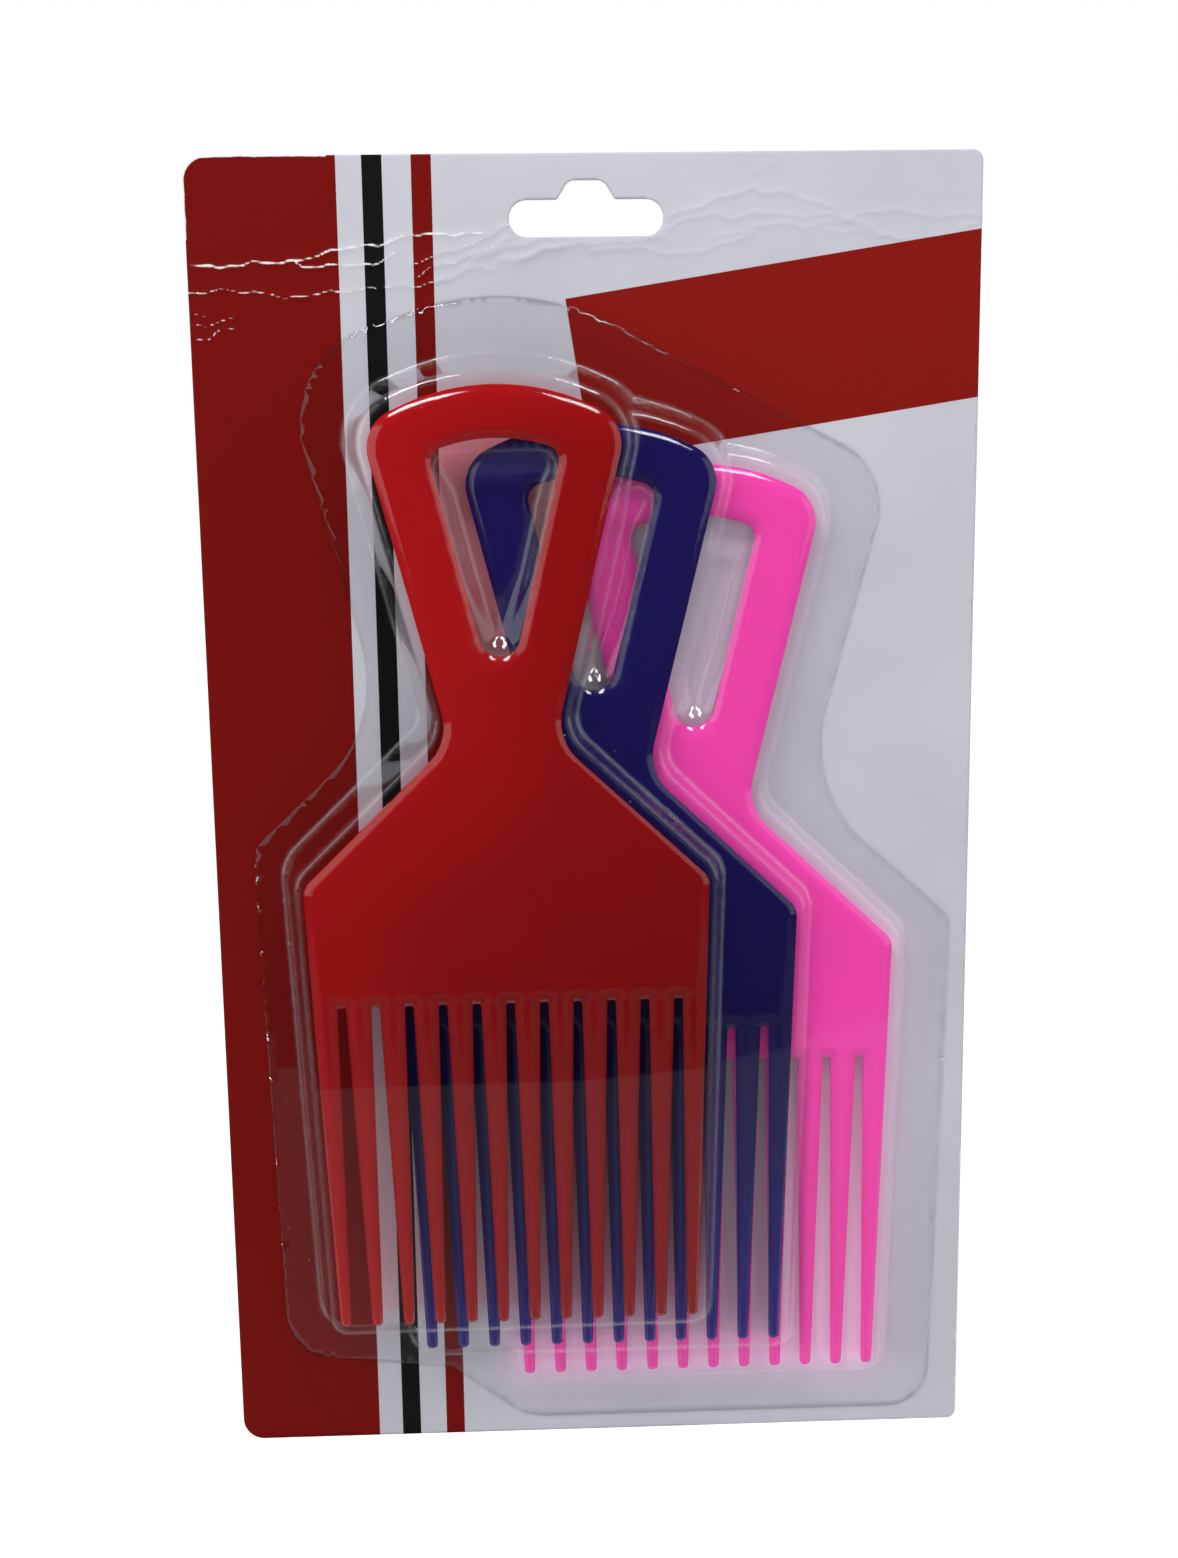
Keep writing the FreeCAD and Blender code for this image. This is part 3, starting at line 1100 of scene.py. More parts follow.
@dataclass
class Pocket:
    """One pocket of the film, outer faces.

    Attributes:
        level: Height of its front face above the card.
        outline: The pick's own loop.
        distances: Distance of each side of the front face's sharp edge from the pick.
        well: Dip in the pick's finger hole.
        wall_slope: Spread of the walls for each millimetre towards the card.
        edge_round: Radius along the front edge.
    """

    level: float
    outline: Outline
    distances: Array
    well: Well
    wall_slope: float
    edge_round: float

    def band(self, offsets: Array, step: float) -> Array:
        """Points on loops along the wall.

        Args:
            offsets: Distances of the loops from the sharp edge of the front face.
            step: Distance between points.

        Returns:
            The points of all loops.
        """
        return np.concatenate([self.outline.offset(self.distances + value).sampled(step, step)
                               for value in offsets])

    def height(self, points: Array) -> Array:
        """Height above the card: flat front, rounded edge of an arc, and a straight sloping wall.

        Args:
            points: Points in the card's plane.

        Returns:
            Level inside, level - radius + sqrt(radius^2 - (d + t)^2) over the rounded edge, and
            level - d / slope outside, with d the distance from the sharp edge and t the arc's run, all
            less the depth of the well.
        """
        loop = self.outline.offset(self.distances).sampled(LOOP_STEP)
        outside = signed_distance(points, loop)
        lean = math.pi / 2 - math.atan(self.wall_slope)
        run = self.edge_round * math.tan(lean / 2)
        along = np.clip(outside + run, 0, self.edge_round * math.sin(lean))
        arc = self.level - self.edge_round + np.sqrt(self.edge_round ** 2 - along ** 2)
        wall = self.level - outside / self.wall_slope
        return np.where(outside > run * math.cos(lean), wall, arc) - self.well.dip(points)


@dataclass(frozen=True)
class Ripple:
    """Faint waves that forming leaves in the film.

    Attributes:
        height: Height of the waves for each unit of their sum.
        length: Lengths of the main waves across and up, for one radian.
        sway: How far the main waves sway, and the length of the swaying, for one radian.
        phase: Start of the waves up the card.
        slant: Lengths of the slanting waves across and up, for one radian.
        slant_share: Height of the slanting waves against the main ones.
        rise: Height above the flange where the waves are full.
    """

    height: float = 0.014
    length: tuple[float, float] = (9.1, 13.7)
    sway: tuple[float, float] = (0.7, 17.0)
    phase: float = 0.4
    slant: tuple[float, float] = (21.0, 26.0)
    slant_share: float = 0.6
    rise: float = 2.0

    def at(self, points: Array, above_flange: Array) -> Array:
        """Depth of the waves, whose crests reach the plain surface.

        Args:
            points: Points in the card's plane.
            above_flange: Height of the film above its flange at each.

        Returns:
            Height * (sin(x / a + s sin(z / b)) cos(z / c + p) + q sin(x / d - z / e) - 1 - q), which is
            nought or less, faded in over the rise.
        """
        across, up = points.T
        main = np.sin(across / self.length[0] + self.sway[0] * np.sin(up / self.sway[1]))
        main = main * np.cos(up / self.length[1] + self.phase)
        slanting = self.slant_share * np.sin(across / self.slant[0] - up / self.slant[1])
        crest = 1 + self.slant_share
        return np.clip(above_flange / self.rise, 0, 1) * self.height * (main + slanting - crest)


@dataclass
class Blister:
    """Clear thermoformed film: a flange and three stepped pockets with wells in the finger holes.

    Attributes:
        pick: Outline of the picks that the pockets follow.
        film: Thickness of the formed film.
        flange_height: Outer face of the flange above the card.
        headroom: Outer front face of a pocket above its pick.
        side_gap: Outer face of a side wall beside the pick.
        foot_gap: Outer face of the foot wall below the tips.
        foot_radius: Rounding of the foot's corners in plan.
        lift: Room above the shoulders and the crown.
        wall_slope: Spread of the walls for each millimetre towards the card.
        edge_round: Radius along the front edges.
        fillet: Height over which a wall runs out into the face below it.
        well_gap: Edge of a well inside the finger hole.
        well_corner_radius: Rounding of the well's upper corners in plan.
        well_point_radius: Rounding of the well's lower point in plan.
        ripple: Waves of the formed film.
        sharp_bend: Curvature at which the painted highlight along the film's bends is full, for each
            millimetre.
        flange: Corners of the flange's rim.
        band: How far a pocket's band of points reaches inside and past its wall's foot, and its step.
        band_spacing: Distance between points along the band's loops.
        buried: Height above a pocket's level where another pocket hides its band.
        rim_step: Distance between points on the flange's rim.
        lattice_step: Distance between points on the flat faces.
        least_spacing: Least distance between points.
    """

    pick: PickOutline = field(default_factory=PickOutline)
    film: float = 0.3
    flange_height: float = 0.4
    headroom: float = 0.8
    side_gap: float = 1.6
    foot_gap: float = 1.0
    foot_radius: float = 2.0
    lift: float = 1.2
    wall_slope: float = math.tan(math.radians(15.0))
    edge_round: float = 1.5
    fillet: float = 2.2
    well_gap: float = 0.6
    well_corner_radius: float = 3.6
    well_point_radius: float = 4.3
    ripple: Ripple = Ripple()
    sharp_bend: float = 0.7
    flange: Outline = Outline((
        (-67.0, -242.4, 10.0), (-32.0, -246.4, 12.0), (-16.0, -258.4, 12.0), (70.8, -258.4, 9.0),
        (74.0, -148.4, 6.0), (43.1, -120.3, 28.0), (60.4, -56.0, 14.0), (-14.0, -17.2, 50.0),
        (-61.0, -33.4, 20.0), (-42.2, -105.6, 28.0), (-69.8, -131.1, 6.0),
    ))
    band: tuple[float, float, float] = (1.5, 1.4, 0.24)
    band_spacing: float = 1.05
    buried: float = 1.0
    rim_step: float = 1.2
    lattice_step: float = 2.2
    least_spacing: float = 0.12

    def pocket(self, layer: Layer) -> Pocket:
        """Fits a pocket over one packed pick.

        Args:
            layer: The pick.

        Returns:
            The pocket, leaned as the pick is and levelled from the pick's own box.
        """
        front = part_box(layer.value)[0].y / METRE
        body = self.pick.body(self.foot_radius).placed(PICK_PLACES[layer])
        gap, roomy = self.side_gap, self.side_gap + self.lift
        right = [gap, roomy, gap, roomy]
        distances = np.array([self.foot_gap, *right, *reversed(right)])
        wedge = self.pick.well(self.well_corner_radius, self.well_point_radius)
        well = Well(wedge.offset(-self.well_gap).placed(PICK_PLACES[layer]))
        return Pocket(self.headroom - front, body, distances, well, self.wall_slope, self.edge_round)

    def height(self, points: Array, pockets: Sequence[Pocket]) -> Array:
        """Height of the film's outer face.

        Args:
            points: Points in the card's plane.
            pockets: The pockets, from the card outwards.

        Returns:
            Soft maximum of the flange and the pockets, a little wavy.
        """
        total = np.full(len(points), self.flange_height)
        for pocket in pockets:
            total = smooth_max(total, pocket.height(points), self.fillet)
        return total + self.ripple.at(points, total - self.flange_height)

    def inner_points(self, pockets: Sequence[Pocket], rim: Array) -> Array:
        """Points of the mesh inside the flange's rim.

        Args:
            pockets: The pockets, from the card outwards.
            rim: Loop of the flange's rim.

        Returns:
            Bands along the pockets' edges where they show, rings in the wells, and an even lattice.
        """
        rows = []
        inside, past_foot, step = self.band
        for pocket in pockets:
            drop = pocket.level * self.wall_slope
            band = pocket.band(np.arange(-inside, drop + past_foot, step), self.band_spacing)
            rows.append(band[self.height(band, pockets) < pocket.level + self.buried])
            rows.append(pocket.well.ring_points())
        rows.append(lattice(rim, self.lattice_step))
        return np.concatenate(rows)

    def build(self) -> bpy.types.Object:
        """Triangulates the flange's region, raises it and gives it a thickness along its normals.

        Returns:
            The film.
        """
        pockets = [self.pocket(layer) for layer in Layer]
        rim = self.flange.sampled(self.rim_step, self.rim_step)
        sheet = Sheet.between([rim], self.inner_points(pockets, rim), self.least_spacing)
        heights = self.height(sheet.points, pockets)
        outer = np.column_stack((sheet.points[:, 0], -heights, sheet.points[:, 1]))
        inner = outer - sheet.normals(heights) * self.film
        made = sheet.shell("blister_film", outer, inner)
        # Curvature that sets the painted highlight along the film's bends
        carry(made, "bend", np.clip(sheet.bend(heights) / self.sharp_bend, 0, 1))
        made.data.materials.append(ClearFilm().material())
        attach(made, CARD_BODY)
        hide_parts("blister")
        return made


@dataclass(frozen=True)
class Crease:
    """A crack or fold in the board.

    Attributes:
        path: Points along it, across and up.
        height: How far the board stands out along it; below nought for a dent.
        width: Distance over which it fades.
        crack_and_glint: How much of the ink it breaks and how much painted glint it gets, nought to one.
    """

    path: Path
    height: float
    width: float
    crack_and_glint: float


@dataclass
class BackingCard:
    """Printed hang card with its slot, creases and worn corners.

    Attributes:
        pick: Outline of the picks that throw light on it.
        cast_reach: Distance over which the light of the pink pick, the shade of the blue one, the light of
            the red one and that of its hole fade.
        cast_levels: Heights between which the pink pick's light weakens upwards.
        handle_cast: Share of the pink pick's light behind its handle.
        red_share: Share of the red pick's light outside its finger hole.
        blue_shade: Share of the pink pick's light that is lost behind the blue one.
        thickness: Thickness of the board.
        outline: Corners of the card.
        slot: Corners of the hang slot with its notch.
        crease_foot: Height below which the board is flat.
        ragged: Waves that make the creases ragged: one across, by height, and two up, by place across.
        crack_and_glint_width: Distance over which broken ink and its painted glint fade from a crease.
        through: Share of a crease that shows on the back.
        worn_foot: Right of and below this place the edge is rubbed.
        worn_head: Left of and above this place the edge is rubbed.
        rub_width: Width of a rubbed edge.
        edge_steps: Distance between points on the rim's arcs and sides.
        insets: Distances from the rim where the mesh has loops of points.
        slot_step: Distance between points on the slot's loop.
        fine_step: Distance between points among the creases.
        lattice_step: Distance between points on the rest of the card.
        least_spacing: Least distance between points.
        creases: Cracks and folds around the slot.
    """

    pick: PickOutline = field(default_factory=PickOutline)
    cast_reach: tuple[float, float, float, float] = (3.2, 1.5, 2.0, 2.5)
    cast_levels: tuple[float, float] = (-160.0, -130.0)
    handle_cast: float = 0.35
    red_share: float = 0.45
    blue_shade: float = 0.55
    thickness: float = 0.6
    outline: Outline = Outline((
        (77.5, -261.9, 2.0), (77.5, 5.1, 2.0), (-77.5, 5.1, 4.5), (-77.5, -261.9, 4.5),
    ))
    slot: Outline = Outline((
        (15.0, -10.6, 3.4), (15.0, -3.6, 3.4), (5.6, -3.6, 0.8), (3.4, 0.0, 2.2),
        (-3.4, 0.0, 2.2), (-5.6, -3.6, 0.8), (-15.0, -3.6, 3.4), (-15.0, -10.6, 3.4),
    ))
    crease_foot: float = -34.0
    ragged: tuple[Wave, Wave, Wave] = (Wave(0.3, 0.9), Wave(0.2, 1.1), Wave(0.08, 0.6))
    crack_and_glint_width: float = 0.45
    through: float = 0.7
    worn_foot: tuple[float, float] = (20.0, -200.0)
    worn_head: tuple[float, float] = (-50.0, -10.0)
    rub_width: float = 0.6
    edge_steps: tuple[float, float] = (0.6, 1.5)
    insets: tuple[float, ...] = (0.5, 1.0, 1.8)
    slot_step: float = 0.5
    fine_step: float = 0.46
    lattice_step: float = 2.2
    least_spacing: float = 0.25
    creases: tuple[Crease, ...] = (
        Crease(((-77.5, -15.4), (-73.5, -15.0), (-71.2, -15.9), (-64.9, -14.8), (-61.5, -14.9),
                (-56.7, -14.7), (-53.8, -14.0), (-47.5, -12.2), (-40.3, -11.7), (-33.2, -9.7),
                (-29.6, -9.9), (-20.0, -9.7)), 0.22, 0.5, 1.0),
        Crease(((-56.7, -14.7), (-54.8, -15.7), (-51.0, -15.7), (-47.6, -15.3), (-41.3, -15.6),
                (-37.4, -13.3)), 0.2, 0.5, 0.95),
        Crease(((-77.5, -20.6), (-73.8, -20.2), (-70.9, -19.9), (-66.6, -20.3), (-60.8, -20.8),
                (-58.0, -21.7), (-51.2, -20.6), (-43.4, -20.2), (-40.0, -19.6), (-33.5, -19.6),
                (-26.9, -18.3)), 0.2, 0.45, 0.85),
        Crease(((-76.0, -26.5), (-72.6, -26.4), (-68.5, -25.0)), 0.15, 0.45, 0.85),
        Crease(((-76.6, -29.3), (-74.2, -29.1), (-71.7, -27.7), (-68.8, -27.3)), 0.15, 0.45, 0.8),
        Crease(((-77.2, -24.5), (-74.5, -24.6)), 0.12, 0.4, 0.75),
        Crease(((-33.4, -15.2), (-30.7, -14.5), (-27.3, -12.9), (-22.9, -12.2), (-18.0, -9.7),
                (-14.1, -7.7)), 0.24, 0.55, 0.8),
        Crease(((-33.5, -17.8), (-30.3, -16.2), (-25.4, -15.0), (-21.5, -13.4), (-14.7, -10.9)),
               0.24, 0.55, 0.8),
        Crease(((-30.4, -19.2), (-27.9, -18.1), (-21.6, -16.0), (-18.7, -16.5)), 0.2, 0.5, 0.7),
        Crease(((-21.5, -14.6), (-18.6, -13.2), (-14.2, -12.3), (-8.4, -11.0), (-5.1, -10.8)),
               0.26, 0.6, 0.6),
        Crease(((-16.2, -15.1), (-11.9, -14.2), (-8.4, -12.9), (-5.1, -12.2)), 0.26, 0.6, 0.6),
        Crease(((16.1, -6.6), (20.7, -5.8), (24.5, -4.2), (28.4, -2.9), (32.0, -1.9), (34.2, -2.7),
                (37.5, -2.4), (41.4, -3.4), (44.6, -4.3), (47.9, -5.6), (50.5, -7.8), (55.7, -9.4),
                (60.3, -11.7)), 0.24, 0.45, 0.5),
        Crease(((31.0, -0.5), (34.2, 1.6), (37.1, 3.5)), 0.1, 0.4, 0.3),
        Crease(((16.1, -9.1), (19.4, -7.5), (23.9, -6.6), (28.4, -7.6), (31.0, -6.7), (36.2, -6.4),
                (41.4, -7.4), (45.3, -6.8), (50.5, -7.8), (54.4, -6.6), (58.3, -6.2), (63.5, -6.4),
                (66.8, -7.7), (71.3, -7.1), (77.5, -7.2)), 0.2, 0.4, 0.5),
        Crease(((24.5, -11.3), (28.4, -10.4), (33.0, -9.2), (37.5, -8.3), (42.7, -9.3), (47.9, -8.4)),
               0.16, 0.4, 0.4),
        Crease(((-14.3, -15.6), (-7.8, -12.9), (-1.3, -11.9), (8.3, -11.6), (15.1, -10.6)), 0.34, 1.3, 0.2),
        Crease(((0.6, -13.3), (10.3, -12.7), (13.5, -13.7), (19.3, -14.1), (24.5, -12.9), (33.0, -10.2)),
               0.2, 0.5, 0.4),
        Crease(((47.3, -10.0), (53.8, -10.1), (60.3, -11.4), (70.1, -11.2), (76.6, -8.7)), 0.14, 0.4, 0.7),
    )

    def relief(self, points: Array) -> tuple[Array, Array]:
        """How far the board stands out at each point, and how much its ink is cracked and painted with glints
        there.

        Args:
            points: Points in the card's plane.

        Returns:
            The sum over the creases of height * exp(-distance / width), and the greatest share of
            crack_and_glint * exp(-distance / crack_and_glint_width), with the distance taken from ragged
            places.
        """
        stand = np.zeros(len(points))
        crack_and_glint = np.zeros(len(points))
        near = points[:, 1] > self.crease_foot
        across, up = points[near].T
        sideways, coarse, fine = self.ragged
        shaken = points[near] + np.column_stack((sideways.at(up), coarse.at(across) + fine.at(across)))
        for crease in self.creases:
            path = np.array(crease.path)
            distance = distance_to_path(shaken, path[:-1], path[1:])
            stand[near] += crease.height * np.exp(-distance / crease.width)
            crack_and_glint[near] = np.maximum(crack_and_glint[near], crease.crack_and_glint * np.exp(-distance / self.crack_and_glint_width))
        return stand, crack_and_glint

    def rub(self, points: Array, rim: Array) -> Array:
        """How much the edge is rubbed bare at the right of its foot and the left of its head.

        Args:
            points: Points in the card's plane.
            rim: Loop of the card's edge.

        Returns:
            1 - d / width at a distance d from the edge, not below nought, and nought away from there.
        """
        across, up = points.T
        foot = (across > self.worn_foot[0]) & (up < self.worn_foot[1])
        head = (across < self.worn_head[0]) & (up > self.worn_head[1])
        return np.where(foot | head, 1 + signed_distance(points, rim) / self.rub_width, 0.0).clip(0, 1)

    def cast(self, points: Array) -> tuple[Array, Array]:
        """How much light of the pink pick and of the red one falls on the card.

        Args:
            points: Points in the card's plane.

        Returns:
            Shares for the pink pick, weaker behind its handle and behind the blue pick, and for the red
            one, full in its finger hole and weaker behind the rest. Each fades as exp(-distance / reach).
        """
        body, hole = self.pick.body(self.pick.tip_radius), self.pick.hole()
        loops = (body.placed(PICK_PLACES[Layer.PINK]), body.placed(PICK_PLACES[Layer.BLUE]),
                 body.placed(PICK_PLACES[Layer.RED]), hole.placed(PICK_PLACES[Layer.RED]))
        shares = [np.exp(-np.maximum(signed_distance(points, loop.sampled(SHADE_STEP)), 0) / reach)
                  for loop, reach in zip(loops, self.cast_reach)]
        foot, head = self.cast_levels
        handle = np.clip((points[:, 1] - foot) / (head - foot), 0, 1)
        pink = shares[0] * (1 - (1 - self.handle_cast) * handle) * (1 - self.blue_shade * shares[1])
        return pink, np.maximum(self.red_share * shares[2], shares[3])

    def flat_sheet(self, rim: Array) -> Sheet:
        """Cuts the flat card into triangles around its slot, finely where it is creased.

        Args:
            rim: Loop of the card's edge.

        Returns:
            The card before its creases are pressed in.
        """
        fine = lattice(rim, self.fine_step)
        edges = [self.outline.offset(-inset).sampled(*self.edge_steps) for inset in self.insets]
        inner = [*edges, fine[fine[:, 1] > self.crease_foot], lattice(rim, self.lattice_step)]
        hole = self.slot.sampled(self.slot_step, self.slot_step)
        return Sheet.between([rim, hole], np.concatenate(inner), self.least_spacing)

    def build(self) -> bpy.types.Object:
        """Presses the creases into the flat card and dresses its front, and its back and edges.

        Returns:
            The card.
        """
        rim = self.outline.sampled(*self.edge_steps)
        sheet = self.flat_sheet(rim)
        stand, crack_and_glint = self.relief(sheet.points)
        across, up = sheet.points.T
        front = np.column_stack((across, -stand, up))
        back = np.column_stack((across, self.thickness - self.through * stand, up))
        made = sheet.shell("creased_card", front, back)
        pink, red = self.cast(sheet.points)
        carry(made, "crack_and_glint", crack_and_glint)
        carry(made, "rub", self.rub(sheet.points, rim))
        carry(made, "pink_light", pink)
        carry(made, "red_light", red)
        made.data.materials.append(PrintedBoard().material())
        made.data.materials.append(PlainBoard().material())
        slots = np.ones(len(made.data.polygons), np.int32)
        slots[:len(sheet.triangles)] = 0
        made.data.polygons.foreach_set("material_index", slots)
        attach(made, CARD_BODY)
        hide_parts("backing_card")
        return made


@dataclass(frozen=True)
class Tone:
    """Painted light and shade over the face of a translucent pick, as a factor on its colour.

    Attributes:
        finish: The plastic.
        behind: The pick that lies behind it and takes light away, if any.
        dimming: Share of light, as a logarithm, that the pick behind takes away.
        fade_up: Gain for each millimetre upwards, as a logarithm.
        fade_across: Gain for each millimetre to the right, as a logarithm.
        level: Height at which the painted light leaves the finish's colour as it is.
        tooth_gain: Gain for each millimetre down the thinning teeth, as a logarithm.
    """

    finish: MouldedPlastic
    behind: Union[Layer, None]
    dimming: float
    fade_up: float
    fade_across: float
    level: float
    tooth_gain: float


@dataclass
class PickSet:
    """The three moulded picks: flat mouldings with softly domed rims and rounded teeth.

    Attributes:
        pick: Outline of a pick.
        thickness: Thickness of the body.
        tip_thickness: Thickness of a tooth at its tip.
        thinning: Height at which the teeth start to thin.
        side_share: Share of the thickness that stands upright at the edge.
        body_dome: Width of the rounded rim on the body.
        tip_dome: Width of the rounded rim at the tips.
        rings: Distances from the edge where the mesh has rings of points.
        tooth_step: Distance between points on the arcs of the outer rings.
        ring_step: Distance between points on the arcs of the rings around the hole.
        hole_step: Distance between points on the arcs of the hole.
        side_step: Distance between points on straight sides.
        root_step: Distance between points just above the roots of the gaps.
        lattice_step: Distance between points on the flat faces.
        least_spacing: Least distance between points.
        body_step: Distance between points on the arcs of the loop that rounds the rim.
        soft_reach: Distance over which light spreads in the plastic around the pick behind.
        edge_cover: Share of the shade right at the edge of the pick behind.
        fade_middle: Place across where the painted light leaves the finish's colour as it is.
        fade_foot: Height of the teeth's roots, below which only the tooth gain changes the painted light.
        fade_head: Height above which it no longer changes.
        tones: Finish and painted light and shade of each pick.
    """

    pick: PickOutline = field(default_factory=PickOutline)
    thickness: float = 3.5
    tip_thickness: float = 2.3
    thinning: float = 76.0
    side_share: float = 0.3
    body_dome: float = 3.0
    tip_dome: float = 1.1
    rings: tuple[float, ...] = (0.1, 0.25, 0.45, 0.7, 1.0, 1.4, 1.9, 2.5, 3.2)
    tooth_step: float = 0.35
    ring_step: float = 0.5
    hole_step: float = 0.4
    side_step: float = 1.2
    root_step: float = 0.7
    lattice_step: float = 2.4
    least_spacing: float = 0.08
    body_step: float = 0.5
    soft_reach: float = 8.0
    edge_cover: float = 0.5
    fade_middle: float = -20.0
    fade_foot: float = -170.0
    fade_head: float = -90.0
    tones: dict[Layer, Tone] = field(default_factory=lambda: {
        Layer.RED: Tone(
            MouldedPlastic("red_plastic", (0.37, 0.0055, 0.0068), (1.0, 0.3, 0.3)),
            Layer.BLUE, 0.2, 0.0042, -0.003, -100.0, 0.004),
        Layer.BLUE: Tone(
            MouldedPlastic("blue_plastic", (0.0098, 0.0066, 0.089), (0.3, 0.3, 1.0), brightest=2.0),
            None, 0.0, 0.0055, 0.0, -110.0, 0.018),
        Layer.PINK: Tone(
            MouldedPlastic("pink_plastic", (0.94, 0.07, 0.45), (1.0, 0.4, 0.8), brightest=1.05),
            None, 0.0, -0.0006, 0.0, -110.0, 0.0),
    })

    def sheet(self) -> Sheet:
        """Cuts one pick into triangles.

        Returns:
            The pick in its own plane, with rings of points that follow its edges.
        """
        outer, hole = self.pick.toothed(), self.pick.hole()
        rings = [outer.offset(-inset).sampled(self.tooth_step, self.side_step) for inset in self.rings]
        rings += [hole.offset(inset).sampled(self.ring_step, self.side_step) for inset in self.rings]
        rim = outer.sampled(self.tooth_step, self.side_step)
        root = self.pick.gap_root
        near_roots = lattice(rim, self.root_step)
        near_roots = near_roots[(near_roots[:, 1] > root) & (near_roots[:, 1] < root + self.body_dome)]
        inner = np.concatenate([*rings, near_roots, lattice(rim, self.lattice_step)])
        loops = [rim, hole.sampled(self.hole_step, self.side_step)]
        return Sheet.between(loops, inner, self.least_spacing)

    def half_thickness(self, points: Array) -> Array:
        """Half the thickness at each point of a pick in its own plane.

        Args:
            points: Points measured up from the tips.

        Returns:
            Full half thickness times 1 - (1 - side) * (1 - d / w)^2, with d the distance from the edge
            and w the width of the rounded rim, which like the thickness grows up the teeth.
        """
        outside = signed_distance(points, self.pick.body(self.pick.tip_radius).sampled(self.body_step))
        from_hole = signed_distance(points, self.pick.hole().sampled(self.hole_step))
        inset = np.minimum(np.minimum(-outside, from_hole), self.pick.tooth_inset(points)).clip(0)
        up = points[:, 1]
        dome = self.tip_dome + (self.body_dome - self.tip_dome) * np.clip(up / self.pick.gap_root, 0, 1)
        full = self.tip_thickness + (self.thickness - self.tip_thickness) * np.clip(up / self.thinning, 0, 1)
        return full / 2 * (1 - (1 - self.side_share) * (1 - np.clip(inset / dome, 0, 1)) ** 2)

    def painted_light(self, points: Array, tone: Tone) -> Array:
        """Painted light and shade at each placed point, around one: a factor on the colour that stands in for
        the light that comes back out of the plastic.

        Args:
            points: Points in the card's plane.
            tone: How the pick's brightness changes.

        Returns:
            exp(-dimming * covered + fades), with covered rising softly over the edge of the pick behind.
        """
        across, up = points[:, 0], np.clip(points[:, 1], self.fade_foot, self.fade_head)
        gain = tone.fade_up * (up - tone.level) + tone.fade_across * (across - self.fade_middle)
        gain = gain + tone.tooth_gain * np.maximum(self.fade_foot - points[:, 1], 0)
        if tone.behind is not None:
            behind = self.pick.body(self.pick.tip_radius).placed(PICK_PLACES[tone.behind])
            outside = signed_distance(points, behind.sampled(SHADE_STEP))
            covered = np.clip(self.edge_cover - outside / (2 * self.soft_reach), 0, 1)
            gain = gain - tone.dimming * covered
        return np.exp(gain)

    def build(self) -> list[bpy.types.Object]:
        """Meshes one pick, places it three times and dresses each.

        Returns:
            The three picks.
        """
        sheet = self.sheet()
        half = self.half_thickness(sheet.points)
        made = []
        for layer, tone in self.tones.items():
            across, up, lean = PICK_PLACES[layer]
            low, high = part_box(layer.value)
            middle = (low.y + high.y) / 2 / METRE
            angle = math.radians(lean)
            turn = np.array(((math.cos(angle), math.sin(angle)), (-math.sin(angle), math.cos(angle))))
            placed = sheet.points @ turn + (across, up)
            front = np.column_stack((placed[:, 0], middle - half, placed[:, 1]))
            back = np.column_stack((placed[:, 0], middle + half, placed[:, 1]))
            pick = sheet.shell("moulded_" + layer.value, front, back)
            # Painted light and shade of the translucent plastic, which its finish turns into colour
            carry(pick, "painted_light", self.painted_light(placed, tone))
            pick.data.materials.append(tone.finish.material())
            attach(pick, layer.value)
            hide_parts(layer.value)
            made.append(pick)
        return made


@dataclass(frozen=True)
class Lamp:
    """A soft rectangular lamp.

    Attributes:
        name: Name of the lamp.
        place: Middle of the lamp.
        target: Point it faces.
        length: Its size across.
        width: Its other size.
        radiance: Brightness of its face.
    """

    name: str
    place: Place
    target: Place
    length: float
    width: float
    radiance: float

    def build(self) -> bpy.types.Object:
        """Adds the lamp.

        Returns:
            The lamp, whose power is pi * area * radiance.
        """
        data = bpy.data.lights.new(self.name, "AREA")
        data.shape = "RECTANGLE"
        data.size = self.length * METRE
        data.size_y = self.width * METRE
        data.energy = math.pi * data.size * data.size_y * self.radiance
        made = linked(self.name, data)
        made.location = Vector(self.place) * METRE
        aim = Vector(self.target) - Vector(self.place)
        made.rotation_euler = aim.to_track_quat("-Z", "Y").to_euler()
        return made


@dataclass(frozen=True)
class PaleFloor(Finish):
    """Plain matt floor.

    Attributes:
        near_glow: Glow to the eye close to the pack.
        far_glow: Glow to the eye far off.
        reach: Distances from the pack where the glow starts to change and where it ends.
        name: Name of the material.
        colour: Linear colour.
    """

    near_glow: float
    far_glow: float
    reach: tuple[float, float] = (300.0, 1600.0)
    name: str = "pale_floor"
    colour: Colour = (0.9, 0.9, 0.9)

    def surface(self, sheet: NodeSheet) -> Wire:
        """Matt and even, with a glow that evens out the far floor.

        Args:
            sheet: Sheet that takes the nodes.

        Returns:
            The shader, whose glow only the eye sees.
        """
        seen = sheet.wire("ShaderNodeLightPath", {}, {}, "Is Camera Ray")
        away = sheet.wire("ShaderNodeVectorMath", {"operation": "LENGTH"}, {0: sheet.coordinates()}, "Value")
        start, end = self.reach
        near = sheet.wire("ShaderNodeEmission", {}, {"Strength": self.near_glow})
        far = sheet.wire("ShaderNodeEmission", {}, {"Strength": self.far_glow})
        glow = sheet.blend(away.ramp(start * METRE, end * METRE), near, far)
        matt = sheet.wire("ShaderNodeBsdfDiffuse", {}, {"Color": self.colour})
        glowing = sheet.wire("ShaderNodeAddShader", {}, {0: matt, 1: glow})
        return sheet.blend(seen, matt, glowing)


